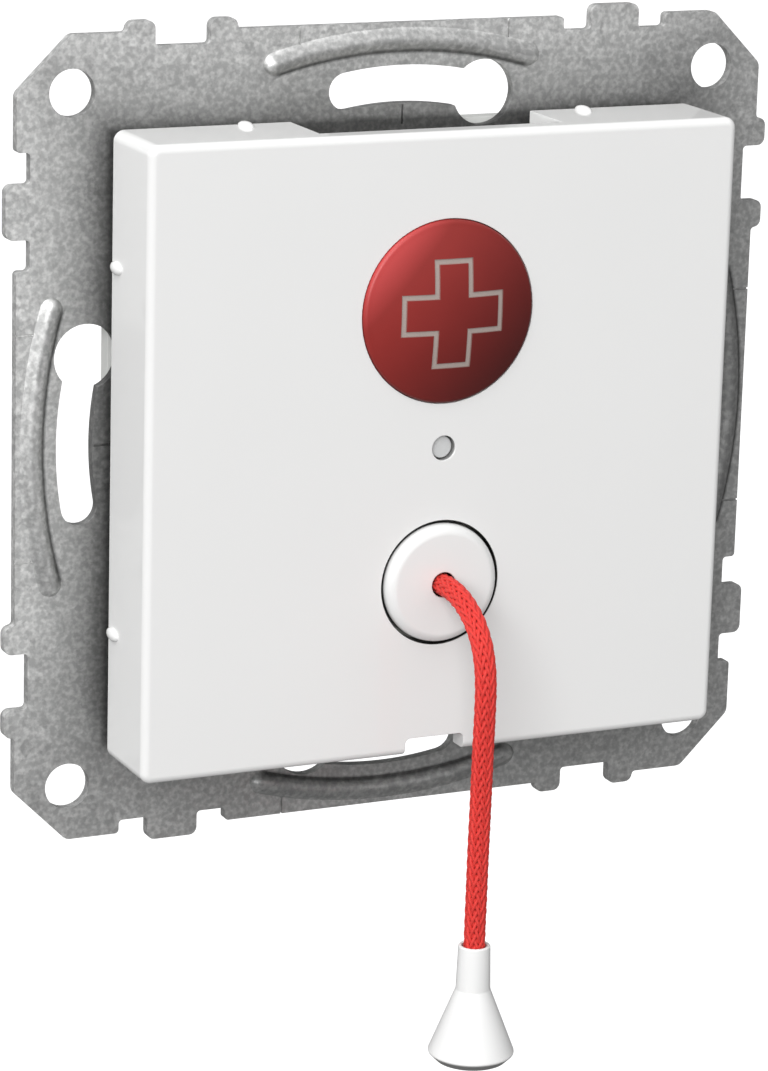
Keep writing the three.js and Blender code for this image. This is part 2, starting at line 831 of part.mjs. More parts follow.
function spring(radius, front, back, turns, z) {
  const steps = turns * springStepsPerTurn;
  const wire = springWire / 2;
  const points = [];
  for (let k = 0; k <= steps; k++) {
    const angle = 2 * Math.PI * k / springStepsPerTurn;
    const y = front + wire + (back - front - springWire) * k / steps;
    points.push(new THREE.Vector3(radius * Math.cos(angle), y, z + radius * Math.sin(angle)));
  }
  const section = new THREE.Shape();
  section.absarc(0, 0, wire, 0, 2 * Math.PI, false);
  return new THREE.ExtrudeGeometry(section, {
    extrudePath: new THREE.CatmullRomCurve3(points),
    steps,
    curveSegments: springSides / 2,
  });
}

// Housing

// The housing is square, with room for the board both ways
const housingInner = Math.max(boardHalfWidth + boardSideGap, boardHalfHeight + boardEndGap);
const housingHalf = housingInner + housingWall;
const assemblyScrewX = housingHalf + assemblyScrewOffset;
const screwPlaces = [];
for (const x of [-assemblyScrewX, assemblyScrewX]) {
  for (const z of [-assemblyScrewZ, assemblyScrewZ]) screwPlaces.push([x, z]);
}
const boardScrewX = boardHalfWidth - boardScrewInset;
const boardScrewZ = boardHalfHeight - boardScrewDrop;
const boardScrewPlaces = [[boardScrewX, boardScrewZ], [-boardScrewX, -boardScrewZ]];
const ledgeFront = boardBack + seatGap;
const screwHole = screwShankRadius + seatGap;

function makeHousing() {
  const back = housingFront + housingDepth;
  const innerFlat = housingFlat - housingWall * Math.tan(Math.PI / 8);
  const shell = cut(
    join(
      slab(chamferedSquare(flangeHalf, flangeFlat), housingFront, housingFront + flangeThickness),
      slab(chamferedSquare(housingHalf, housingFlat), housingFront, back),
    ),
    slab(chamferedSquare(housingInner, innerFlat), housingFront - overlap, back + overlap),
  );
  const ledges = [-1, 1].map((side) => {
    const wall = side * (housingInner + bond);
    const edge = side * (boardHalfHeight - ledgeReach);
    return block(-ledgeHalfWidth, ledgeHalfWidth, ledgeFront, ledgeFront + ledgeThickness,
      Math.min(wall, edge), Math.max(wall, edge));
  });
  const bosses = screwPlaces.map(([x, z]) => disc(
    bossRadius, x, z, housingFront, housingFront + bossDepth, coarse));
  const boardBosses = boardScrewPlaces.flatMap(([x, z]) => [
    disc(bossRadius, x, z, ledgeFront, ledgeFront + boardScrewLength, coarse),
    block(x - bossWall, x + bossWall, ledgeFront, ledgeFront + boardScrewLength,
      Math.min(z, Math.sign(z) * (housingInner + bond)),
      Math.max(z, Math.sign(z) * (housingInner + bond))),
  ]);
  const whole = join(shell, ...ledges, ...bosses, ...boardBosses);
  const holes = screwPlaces.map(([x, z]) => disc(
    screwHole, x, z, housingFront - overlap, housingFront + bossDepth + overlap, coarse));
  const boardHoles = boardScrewPlaces.map(([x, z]) => disc(
    screwHole, x, z, ledgeFront - overlap, ledgeFront + boardScrewLength + overlap, coarse));
  return cut(whole, ...holes, ...boardHoles);
}

function makeBoard() {
  const shape = outline([
    [-boardHalfWidth, -boardHalfHeight + boardChamfer],
    [-boardHalfWidth + boardChamfer, -boardHalfHeight],
    [boardHalfWidth - boardChamfer, -boardHalfHeight],
    [boardHalfWidth, -boardHalfHeight + boardChamfer],
    [boardHalfWidth, boardHalfHeight - boardChamfer],
    [boardHalfWidth - boardChamfer, boardHalfHeight],
    [-boardHalfWidth + boardChamfer, boardHalfHeight],
    [-boardHalfWidth, boardHalfHeight - boardChamfer],
  ]);
  const holes = boardScrewPlaces.map(([x, z]) => disc(
    screwShankRadius + slideGap, x, z, boardFront - overlap, boardBack + overlap, coarse));
  return cut(slab(shape, boardFront, boardBack), ...holes);
}

function makeCallSwitch() {
  const half = switchWidth / 2;
  const back = boardFront - seatGap;
  const front = boardFront - callSwitchHeight;
  return join(
    block(-half, half, front, back, buttonHeight - half, buttonHeight + half),
    disc(callActuatorRadius, 0, buttonHeight, front - callActuatorLength, front + bond, coarse),
  );
}

function makePullSwitch() {
  const half = switchWidth / 2;
  const back = boardFront - seatGap;
  const front = boardFront - pullSwitchHeight;
  return join(
    block(pullSwitchOffset - half, pullSwitchOffset + half, front, back,
      -plungerDrop - half, -plungerDrop + half),
    disc(pullActuatorRadius, pullActuatorOffset, -plungerDrop,
      front - callActuatorLength, front + bond, coarse),
  );
}

// Terminals

const terminalHalfWidth = wireCount * wirePitch / 2;
const terminalBack = rearCoverBack + terminalStandout;
const wirePlaces = [];
for (let k = 0; k < wireCount; k++) wirePlaces.push((k - (wireCount - 1) / 2) * wirePitch);

function makeTerminalBlock() {
  const body = block(-terminalHalfWidth, terminalHalfWidth, boardBack + seatGap, terminalBack,
    -terminalHalfHeight, terminalHalfHeight);
  const pockets = wirePlaces.map((x) => disc(terminalScrewRadius + slideGap, x, terminalScrewHeight,
    terminalBack - terminalScrewPocket, terminalBack + overlap, coarse));
  const wireHoles = wirePlaces.map((x) => block(x - wireHoleWidth / 2, x + wireHoleWidth / 2,
    terminalBack - wireHoleDepth, terminalBack + overlap,
    wireHoleHeight - wireHoleWidth / 2, wireHoleHeight + wireHoleWidth / 2));
  return cut(body, ...pockets, ...wireHoles);
}

function makeTerminalScrew(x) {
  const front = terminalBack - terminalScrewPocket + seatGap;
  const back = front + terminalScrewLength;
  const slotHalf = screwSlotWidth / 2;
  return cut(
    disc(terminalScrewRadius, x, terminalScrewHeight, front, back, coarse),
    block(x - terminalScrewRadius - overlap, x + terminalScrewRadius + overlap,
      back - screwSlotDepth, back + overlap,
      terminalScrewHeight - slotHalf, terminalScrewHeight + slotHalf),
  );
}

function makeRearCover() {
  const lipHalf = housingInner - slideGap;
  const lipFlat = housingFlat - (housingHalf - lipHalf) * Math.tan(Math.PI / 8);
  const windowWidth = terminalHalfWidth + rearWindowMargin;
  const windowHeight = terminalHalfHeight + rearWindowMargin;
  return cut(
    join(
      slab(chamferedSquare(housingHalf, housingFlat), rearCoverFront, rearCoverBack),
      slab(chamferedSquare(lipHalf, lipFlat), rearCoverFront - rearLipDepth, rearCoverFront + bond),
    ),
    slab(chamferedSquare(lipHalf - housingWall, lipFlat - housingWall / 2),
      rearCoverFront - rearLipDepth - overlap, rearCoverFront),
    slab(rectangle(windowWidth, windowHeight, 1.0), rearCoverFront - overlap,
      rearCoverBack + overlap),
  );
}

// A pan head screw whose head faces the front
function makeScrew(x, z, seat, length) {
  const front = seat - seatGap - screwHeadHeight;
  const head = seat - seatGap;
  const tip = seat + length;
  const body = turned([
    [0, front],
    [screwHeadRadius * 0.75, front],
    [screwHeadRadius, front + screwHeadHeight * 0.4],
    [screwHeadRadius, head],
    [screwShankRadius, head],
    [screwShankRadius, tip - screwShankRadius],
    [0, tip],
  ], x, z, coarse);
  const slot = block(x - screwHeadRadius - overlap, x + screwHeadRadius + overlap,
    front - overlap, front + screwSlotDepth, z - screwSlotWidth / 2, z + screwSlotWidth / 2);
  return cut(body, slot);
}

addPiece('mounting_plate', makePlate(), galvanised);
addPiece('cover', makeCover(), shellWhite);
addPiece('call_button', makeButton(), buttonRed);
addPiece('light_guide', makeLightGuide(), lensGrey);
addPiece('pull_plunger', makePlunger(), shellWhite);
addPiece('plunger_collar', makeCollar(), innerWhite);
addPiece('pull_cord', makeCord(), cordRed);
addPiece('inner_knot', makeInnerKnot(), cordRed);
addPiece('outer_knot', makeOuterKnot(), cordRed);
addPiece('pull_handle', makeHandle(), shellWhite);
addPiece('carrier', makeCarrier(), innerWhite);
addPiece('button_spring', spring(buttonSpringRadius, buttonCeiling + seatGap, carrierFront - seatGap,
  buttonSpringTurns, buttonHeight), bareSteel);
addPiece('pull_spring', spring(pullSpringRadius, springSeat + seatGap, collarFront - seatGap,
  pullSpringTurns, -plungerDrop), bareSteel);
addPiece('housing', makeHousing(), housingGrey);
addPiece('rear_cover', makeRearCover(), housingGrey);
addPiece('circuit_board', makeBoard(), boardGreen);
addPiece('call_switch', makeCallSwitch(), switchBlack);
addPiece('pull_switch', makePullSwitch(), switchBlack);
addPiece('status_led', makeLed(), lensGrey);
addPiece('terminal_block', makeTerminalBlock(), terminalGreen);
wirePlaces.forEach((x, i) => addPiece(`terminal_screw_${i + 1}`, makeTerminalScrew(x), bareSteel));
screwPlaces.forEach(([x, z], i) => addPiece(`assembly_screw_${i + 1}`,
  makeScrew(x, z, carrierFront, assemblyScrewLength), bareSteel));
boardScrewPlaces.forEach(([x, z], i) => addPiece(`board_screw_${i + 1}`,
  makeScrew(x, z, boardFront, boardScrewLength), bareSteel));

export default part;
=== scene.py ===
# Emergency pull cord alarm: the surfaces, the braided cord and the fine edges, made round the
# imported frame. Metres, +Z up, the front looks towards -Y and the wall is the plane y = 0.
import math
import bmesh
import bpy
from mathutils import Euler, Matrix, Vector


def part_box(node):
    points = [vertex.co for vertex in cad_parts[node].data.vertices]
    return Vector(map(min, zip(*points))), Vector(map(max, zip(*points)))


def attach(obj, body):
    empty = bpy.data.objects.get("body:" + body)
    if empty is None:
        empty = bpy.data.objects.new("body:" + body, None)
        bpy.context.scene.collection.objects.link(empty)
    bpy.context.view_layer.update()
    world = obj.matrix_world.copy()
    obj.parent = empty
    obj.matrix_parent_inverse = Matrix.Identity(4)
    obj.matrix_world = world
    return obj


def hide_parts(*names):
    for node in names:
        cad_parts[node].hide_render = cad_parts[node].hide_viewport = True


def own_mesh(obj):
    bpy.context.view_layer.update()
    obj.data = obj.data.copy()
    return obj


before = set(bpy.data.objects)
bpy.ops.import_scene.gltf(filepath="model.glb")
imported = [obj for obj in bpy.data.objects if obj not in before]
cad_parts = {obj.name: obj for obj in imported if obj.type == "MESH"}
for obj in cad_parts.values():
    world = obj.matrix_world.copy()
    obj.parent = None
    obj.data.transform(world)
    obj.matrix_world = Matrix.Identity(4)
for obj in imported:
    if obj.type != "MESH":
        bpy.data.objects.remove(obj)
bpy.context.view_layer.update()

MM = 0.001
ROUND_STEPS = 96  # round a turned piece
FILLET_STEPS = 8  # round a small fillet
FOUR_SIDES = (0, 1, 2, 3)
FAR = 1.0  # past everything
PAST = 1 * MM  # how far a cutting form reaches past what it cuts
REST_GAP = 0.1 * MM  # between two pieces that rest on each other
BOND = 0.2 * MM  # how far a rib sinks into the wall that carries it
TOUCHING = 0.0001 * MM  # points this close are one


# Places that the frame gives

cover_low, cover_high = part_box("cover")
button_low, button_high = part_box("call_button")
lens_low, lens_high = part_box("light_guide")
plunger_low, plunger_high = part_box("pull_plunger")
handle_low, handle_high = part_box("pull_handle")
carrier_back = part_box("carrier")[1].y

COVER_FRONT = cover_low.y
COVER_RIM = cover_high.y
PLATE_FRONT = -1.0 * MM
BUTTON_Z = (button_low.z + button_high.z) / 2
PLUNGER_Z = (plunger_low.z + plunger_high.z) / 2
HANDLE_Y = (handle_low.y + handle_high.y) / 2


# Meshes

def as_object(name, data):
    """A mesh, drawing, camera or light put into the scene."""
    piece = bpy.data.objects.new(name, data)
    bpy.context.scene.collection.objects.link(piece)
    return piece


def mesh_object(name, points, edges, faces):
    mesh = bpy.data.meshes.new(name)
    mesh.from_pydata([tuple(p) for p in points], edges, faces)
    return as_object(name, mesh)


def piece_from(name, points, faces):
    """A closed piece, with its faces turned outwards."""
    piece = mesh_object(name, points, [], faces)
    face_outwards(piece)
    return piece


def edit(piece, work):
    """Opens the piece's mesh, does the work on it and closes it again."""
    bm = bmesh.new()
    bm.from_mesh(piece.data)
    work(bm)
    bm.to_mesh(piece.data)
    bm.free()


def face_outwards(piece):
    edit(piece, lambda bm: bmesh.ops.recalc_face_normals(bm, faces=bm.faces))


def merge(piece, distance=0.0005 * MM):
    edit(piece, lambda bm: bmesh.ops.remove_doubles(bm, verts=bm.verts, dist=distance))


def evaluated_mesh(piece):
    """The mesh that a piece's modifiers or drawing give."""
    graph = bpy.context.evaluated_depsgraph_get()
    return bpy.data.meshes.new_from_object(piece.evaluated_get(graph))


def worked_in(piece):
    """The piece's modifiers become part of its mesh."""
    mesh = evaluated_mesh(piece)
    piece.modifiers.clear()
    piece.data = mesh
    return piece


def boolean(piece, tool, operation):
    """The tool is used up."""
    modifier = piece.modifiers.new("boolean", "BOOLEAN")
    modifier.operation = operation
    modifier.solver = "EXACT"
    modifier.object = tool
    worked_in(piece)
    bpy.data.objects.remove(tool)
    merge(piece)
    return piece


def cut(piece, *tools):
    for tool in tools:
        boolean(piece, tool, "DIFFERENCE")
    return piece


def join(piece, *others):
    for other in others:
        boolean(piece, other, "UNION")
    return piece


def gathered(name, tools):
    """Separate forms that don't touch, as one object."""
    points = []
    faces = []
    for tool in tools:
        start = len(points)
        points += [v.co.copy() for v in tool.data.vertices]
        faces += [[start + i for i in face.vertices] for face in tool.data.polygons]
        bpy.data.objects.remove(tool)
    return piece_from(name, points, faces)


def ease_edges(piece, width, segments=2, angle=50):
    """Every sharp edge gets a small round."""
    edit(piece, lambda bm: bmesh.ops.dissolve_limit(
        bm, angle_limit=math.radians(0.4), verts=bm.verts, edges=bm.edges))
    modifier = piece.modifiers.new("edges", "BEVEL")
    modifier.width = width
    modifier.segments = segments
    modifier.limit_method = "ANGLE"
    modifier.angle_limit = math.radians(angle)
    modifier.use_clamp_overlap = True
    return worked_in(piece)


def smooth(piece, angle=40):
    """Round stretches look round, flat ones stay flat, and edges over the angle stay crisp."""
    for face in piece.data.polygons:
        face.use_smooth = True
    piece.data.set_sharp_from_angle(angle=math.radians(angle))
    modifier = piece.modifiers.new("normals", "WEIGHTED_NORMAL")
    modifier.keep_sharp = True
    modifier.weight = 100
    return worked_in(piece)


def place(piece, body, slot, finish, *nodes):
    """The finished piece takes its material, its body and the nodes it stands for."""
    piece.data.materials.clear()
    piece.data.materials.append(finish)
    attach(piece, body)
    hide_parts(*nodes)
    return piece


# Outlines and sections

def rounded(corners, closed=True, steps=FILLET_STEPS):
    """Points of an outline whose corners are (a, b) or (a, b, radius)."""
    points = []
    count = len(corners)
    for i, corner in enumerate(corners):
        here = Vector(corner[:2])
        radius = corner[2] if len(corner) > 2 else 0
        if radius == 0 or (not closed and i in (0, count - 1)):
            points.append(here)
            continue
        before = (Vector(corners[i - 1][:2]) - here).normalized()
        after = (Vector(corners[(i + 1) % count][:2]) - here).normalized()
        half = before.angle(after) / 2
        middle = here + (before + after).normalized() * radius / math.sin(half)
        start = here + before * radius / math.tan(half) - middle
        end = here + after * radius / math.tan(half) - middle
        sweep = start.angle(end)
        for k in range(steps + 1):
            share = k / steps
            arm = (start * math.sin((1 - share) * sweep) + end * math.sin(share * sweep)) / math.sin(sweep)
            points.append(middle + arm)
    return points


def quarter(steps):
    """Angles from 0 to a quarter turn, in equal steps."""
    return [math.pi / 2 * k / steps for k in range(steps + 1)]


def ring_faces(start, count):
    """Faces between one ring of points and the next."""
    return [(start + k, start + (k + 1) % count, start + count + (k + 1) % count, start + count + k)
            for k in range(count)]


def turned(name, profile, centre, axis="Y", closed=False, steps=ROUND_STEPS):
    """A body turned about an axis along Y or Z. The profile is (radius, along) points, from one end
    on the axis to the other, or closed round a bore."""
    points = []
    for radius, along in profile:
        for k in range(steps):
            angle = 2 * math.pi * k / steps
            across = radius * math.cos(angle)
            up = radius * math.sin(angle)
            if axis == "Y":
                points.append((centre[0] + across, along, centre[1] + up))
            else:
                points.append((centre[0] + across, centre[1] + up, along))
    faces = []
    for i in range(len(profile) - 1):
        faces += ring_faces(i * steps, steps)
    if closed:
        last = (len(profile) - 1) * steps
        faces += [(last + k, last + (k + 1) % steps, (k + 1) % steps, k) for k in range(steps)]
    piece = piece_from(name, points, faces)
    edit(piece, lambda bm: bmesh.ops.remove_doubles(bm, verts=bm.verts, dist=TOUCHING))
    edit(piece, lambda bm: bmesh.ops.dissolve_degenerate(bm, edges=bm.edges, dist=TOUCHING))
    face_outwards(piece)
    return piece


def loft(name, rings):
    """A closed skin through rings of equally many points."""
    count = len(rings[0])
    faces = []
    for i in range(len(rings) - 1):
        faces += ring_faces(i * count, count)
    faces.append(tuple(range(count)))
    faces.append(tuple((len(rings) - 1) * count + k for k in range(count)))
    return piece_from(name, [p for ring in rings for p in ring], faces)


def prism(name, outline, front, back):
    """A form with an outline in X and Z, from front to back along Y."""
    return loft(name, [[(x, y, z) for x, z in outline] for y in (front, back)])


def block(name, x0, x1, front, back, z0, z1):
    """A square-cornered form between pairs of planes."""
    return prism(name, [(x0, z0), (x1, z0), (x1, z1), (x0, z1)], front, back)


def disc(name, radius, centre, front, back, steps=ROUND_STEPS):
    """A round form from front to back along Y."""
    return turned(name, [(0, front), (radius, front), (radius, back), (0, back)], centre, steps=steps)


def to_side(side, along, out):
    """A point of a drawing of the top side, turned to side 0 to 3, clockwise from the top."""
    angle = side * math.pi / 2
    return (along * math.cos(angle) + out * math.sin(angle),
            out * math.cos(angle) - along * math.sin(angle))


# Node trees

def feed(tree, socket, value):
    """Gives a socket a link or a plain value."""
    if isinstance(value, bpy.types.NodeSocket):
        tree.links.new(value, socket)
    else:
        socket.default_value = value


def node(tree, kind, inputs=None, **settings):
    """A new node with its settings and what goes into its sockets."""
    made = tree.nodes.new(kind)
    for key, value in settings.items():
        setattr(made, key, value)
    for key, value in (inputs or {}).items():
        feed(tree, made.inputs[key], value)
    return made


def calc(tree, operation, *values):
    return node(tree, "ShaderNodeMath", dict(enumerate(values)), operation=operation).outputs[0]


def vector_calc(tree, operation, *values):
    made = node(tree, "ShaderNodeVectorMath", dict(enumerate(values)), operation=operation)
    return made.outputs["Value"] if operation in ("DOT_PRODUCT", "LENGTH") else made.outputs["Vector"]


def scaled(tree, vector, factor):
    return node(tree, "ShaderNodeVectorMath", {0: vector, "Scale": factor}, operation="SCALE").outputs[0]


def spread(tree, value, low, high, from_low=0.0, from_high=1.0):
    """A value in one range carried over to another."""
    made = node(tree, "ShaderNodeMapRange", {0: value, 1: from_low, 2: from_high, 3: low, 4: high})
    return made.outputs[0]


def blend_colours(tree, share, first, second):
    made = node(tree, "ShaderNodeMix", data_type="RGBA")
    feed(tree, made.inputs[0], share)
    feed(tree, made.inputs[6], first)
    feed(tree, made.inputs[7], second)
    return made.outputs[2]


def place_on_piece(tree):
    """The place on the piece that a finish is worked out for."""
    return node(tree, "ShaderNodeTexCoord").outputs["Object"]


def noise(tree, size, detail=2.0, vector=None):
    """Noise whose lumps are about size metres across."""
    return node(tree, "ShaderNodeTexNoise", {
        "Vector": vector or place_on_piece(tree), "Scale": 1 / size, "Detail": detail}).outputs[0]


def new_group(name, kind, inputs, outputs):
    """A node group with named sockets, and its two end nodes."""
    tree = bpy.data.node_groups.new(name, kind)
    for direction, sockets in (("INPUT", inputs), ("OUTPUT", outputs)):
        for socket_name, socket_kind, default in sockets:
            socket = tree.interface.new_socket(socket_name, in_out=direction, socket_type=socket_kind)
            if default is not None:
                socket.default_value = default
    return tree, tree.nodes.new("NodeGroupInput").outputs, tree.nodes.new("NodeGroupOutput").inputs


FLOAT = "NodeSocketFloat"
COLOUR = "NodeSocketColor"


def moulded_skin_group():
    """Moulded plastic: faint clouds in the tone, a little change of gloss and a fine grain."""
    tree, given, out = new_group("moulded_skin", "ShaderNodeTree", [
        ("Colour", COLOUR, (0.8, 0.8, 0.8, 1)), ("Cloud size", FLOAT, 4 * MM), ("Cloud depth", FLOAT, 0.03),
        ("Grain size", FLOAT, 0.2 * MM), ("Roughness", FLOAT, 0.3), ("Roughness spread", FLOAT, 0.05),
    ], [("Colour", COLOUR, None), ("Roughness", FLOAT, None), ("Height", FLOAT, None)])
    position = place_on_piece(tree)

    def lumps(size, detail):
        return node(tree, "ShaderNodeTexNoise", {
            "Vector": position, "Scale": calc(tree, "DIVIDE", 1.0, size), "Detail": detail}).outputs[0]

    cloud = lumps(given["Cloud size"], 3.0)
    grain = lumps(given["Grain size"], 2.0)
    swing = calc(tree, "MULTIPLY", calc(tree, "SUBTRACT", cloud, 0.5), given["Cloud depth"])
    tone = calc(tree, "ADD", calc(tree, "MULTIPLY", swing, 2.0), 1.0)
    feed(tree, out["Colour"], scaled(tree, given["Colour"], tone))
    mix = calc(tree, "ADD", calc(tree, "SUBTRACT", cloud, 0.5), calc(tree, "SUBTRACT", grain, 0.5))
    feed(tree, out["Roughness"], calc(
        tree, "MULTIPLY_ADD", mix, given["Roughness spread"], given["Roughness"]))
    feed(tree, out["Height"], grain)
    return tree


def spangle_group():
    """Zinc on sheet steel: small crystals in greys that lie at slightly different tilts."""
    tree, given, out = new_group("zinc_spangle", "ShaderNodeTree", [
        ("Dark", COLOUR, (0.2, 0.2, 0.2, 1)), ("Light", COLOUR, (0.5, 0.5, 0.5, 1)),
        ("Crystal size", FLOAT, 1.2 * MM), ("Roughness", FLOAT, 0.45),
    ], [("Colour", COLOUR, None), ("Roughness", FLOAT, None), ("Height", FLOAT, None)])
    position = place_on_piece(tree)
    scale = calc(tree, "DIVIDE", 1.0, given["Crystal size"])

    def lumps(factor, detail):
        return node(tree, "ShaderNodeTexNoise", {
            "Vector": position, "Scale": calc(tree, "MULTIPLY", scale, factor), "Detail": detail}).outputs

    bent = vector_calc(tree, "ADD", position, scaled(
        tree, vector_calc(tree, "SUBTRACT", lumps(0.8, 2.0)[1], (0.5, 0.5, 0.5)),
        calc(tree, "MULTIPLY", given["Crystal size"], 0.9)))
    crystals = node(tree, "ShaderNodeTexVoronoi", {"Vector": bent, "Scale": scale}).outputs["Color"]
    facet = node(tree, "ShaderNodeSeparateColor", {0: crystals}).outputs
    blotch = spread(tree, lumps(1.7, 5.0)[0], 0.0, 1.0, 0.42, 0.66)
    share = calc(tree, "ADD", calc(tree, "MULTIPLY", facet[0], 0.25), calc(tree, "MULTIPLY", blotch, 0.75))
    feed(tree, out["Colour"], blend_colours(tree, share, given["Dark"], given["Light"]))
    feed(tree, out["Roughness"], calc(
        tree, "MULTIPLY_ADD", calc(tree, "SUBTRACT", facet[1], 0.5), 0.16, given["Roughness"]))
    feed(tree, out["Height"], calc(tree, "MULTIPLY_ADD", facet[2], 0.5, blotch))
    return tree


def gap_shade_group():
    """Mask for painted shade: 1 between two radii about an axis along Y, from one depth to another."""
    tree, given, out = new_group("gap_shade", "ShaderNodeTree", [
        ("Height", FLOAT, 0.0), ("Inner", FLOAT, 0.0), ("Outer", FLOAT, 1 * MM), ("Front", FLOAT, 0.0),
        ("Back", FLOAT, 1.0),
    ], [("Shade", FLOAT, None)])
    position = place_on_piece(tree)
    x, y, z = node(tree, "ShaderNodeSeparateXYZ", {0: position}).outputs
    up = calc(tree, "SUBTRACT", z, given["Height"])
    flat = node(tree, "ShaderNodeCombineXYZ", {"X": x, "Y": up}).outputs[0]
    radius = vector_calc(tree, "LENGTH", flat)
    between = calc(tree, "MULTIPLY", calc(tree, "GREATER_THAN", radius, given["Inner"]),
                   calc(tree, "LESS_THAN", radius, given["Outer"]))
    soft_front = 0.15 * MM
    soft_back = 0.4 * MM
    behind = spread(tree, calc(tree, "SUBTRACT", y, given["Front"]), 0.0, 1.0, 0.0, soft_front)
    ahead = spread(tree, calc(tree, "SUBTRACT", given["Back"], y), 0.0, 1.0, 0.0, soft_back)
    feed(tree, out["Shade"], calc(tree, "MULTIPLY", between, calc(tree, "MULTIPLY", behind, ahead)))
    return tree


MOULDED_SKIN = moulded_skin_group()
SPANGLE = spangle_group()
GAP_SHADE = gap_shade_group()


def new_finish(name):
    """An empty material, its tree and its Principled shader."""
    finish = bpy.data.materials.new(name)
    finish.use_nodes = True
    tree = finish.node_tree
    tree.nodes.clear()
    shader = node(tree, "ShaderNodeBsdfPrincipled")
    output = node(tree, "ShaderNodeOutputMaterial")
    tree.links.new(shader.outputs[0], output.inputs["Surface"])
    return finish, tree, shader


def bump(tree, shader, height, distance, strength=0.3):
    made = node(tree, "ShaderNodeBump", {"Height": height, "Strength": strength, "Distance": distance})
    tree.links.new(made.outputs[0], shader.inputs["Normal"])


def grouped(tree, group, **values):
    """A node group in use, with its inputs by name."""
    made = node(tree, "ShaderNodeGroup", node_tree=group)
    for key, value in values.items():
        feed(tree, made.inputs[key.replace("_", " ")], value)
    return made.outputs


def plastic(name, colour, roughness, cloud=0.02, cloud_size=6 * MM, grain=0.15 * MM, depth=0.002 * MM,
            roughness_spread=0.05, gaps=()):
    """Moulded plastic. The gaps carry painted shade, each with its height, inner and outer radius, front,
    back and how dark it is."""
    finish, tree, shader = new_finish(name)
    skin = grouped(tree, MOULDED_SKIN, Colour=(*colour, 1), Cloud_size=cloud_size, Cloud_depth=cloud,
                   Grain_size=grain, Roughness=roughness, Roughness_spread=roughness_spread)
    tone = skin["Colour"]
    specular = 0.5
    for height, inner, outer, front, back, dark in gaps:
        shade = grouped(tree, GAP_SHADE, Height=height, Inner=inner, Outer=outer, Front=front,
                        Back=back)["Shade"]
        lit = calc(tree, "MULTIPLY_ADD", shade, -dark, 1.0)
        tone = scaled(tree, tone, lit)
        specular = calc(tree, "MULTIPLY", lit, specular)
    feed(tree, shader.inputs["Base Color"], tone)
    feed(tree, shader.inputs["Specular IOR Level"], specular)
    tree.links.new(skin["Roughness"], shader.inputs["Roughness"])
    bump(tree, shader, skin["Height"], depth)
    return finish


BEAD_REACH = 12.0 * MM
BEAD_MIDDLE = 33.85 * MM
BEAD_END = 32.15 * MM
BEAD_WIDTH = 1.75 * MM
BEAD_DROP = BEAD_MIDDLE - BEAD_END
BEAD_ARC = (BEAD_REACH ** 2 + BEAD_DROP ** 2) / (2 * BEAD_DROP)  # the radius that it follows
SHADE_START = 27.5 * MM  # the cover's side, where the sheet is darkest
SHADE_END = 34.5 * MM


def bead_shade(tree, x, z):
    """Painted shade on the beads: a lower tone on each, and a dark crease painted along one foot."""
    wide = calc(tree, "ABSOLUTE", x)
    high = calc(tree, "ABSOLUTE", z)
    along = calc(tree, "MINIMUM", wide, high)
    out = calc(tree, "MAXIMUM", wide, high)
    reach = calc(tree, "SUBTRACT", out, BEAD_MIDDLE - BEAD_ARC)
    from_arc = calc(tree, "SUBTRACT", calc(tree, "SQRT", calc(
        tree, "ADD", calc(tree, "MULTIPLY", along, along), calc(tree, "MULTIPLY", reach, reach))), BEAD_ARC)
    # The painted crease is on the foot away from the light: inner for left, top and bottom beads, outer for
    # the right.
    beside = calc(tree, "GREATER_THAN", wide, high)
    across = calc(tree, "MULTIPLY", calc(tree, "SIGN", x), beside)
    down = calc(tree, "SUBTRACT", beside, 1.0)
    away = calc(tree, "MULTIPLY", from_arc, calc(tree, "ADD", across, down))
    foot = BEAD_WIDTH / 2 + 0.1 * MM
    off = calc(tree, "ABSOLUTE", calc(tree, "SUBTRACT", away, foot))
    crease = spread(tree, off, 0.35, 1.0, 0.08 * MM, 0.3 * MM)
    raised = spread(tree, calc(tree, "ABSOLUTE", from_arc), 0.8, 1.0, foot - 0.3 * MM, foot)
    past = spread(tree, along, 0.0, 1.0, BEAD_REACH - 0.9 * MM, BEAD_REACH + 0.3 * MM)
    return calc(tree, "MAXIMUM", calc(tree, "MULTIPLY", crease, raised), past)


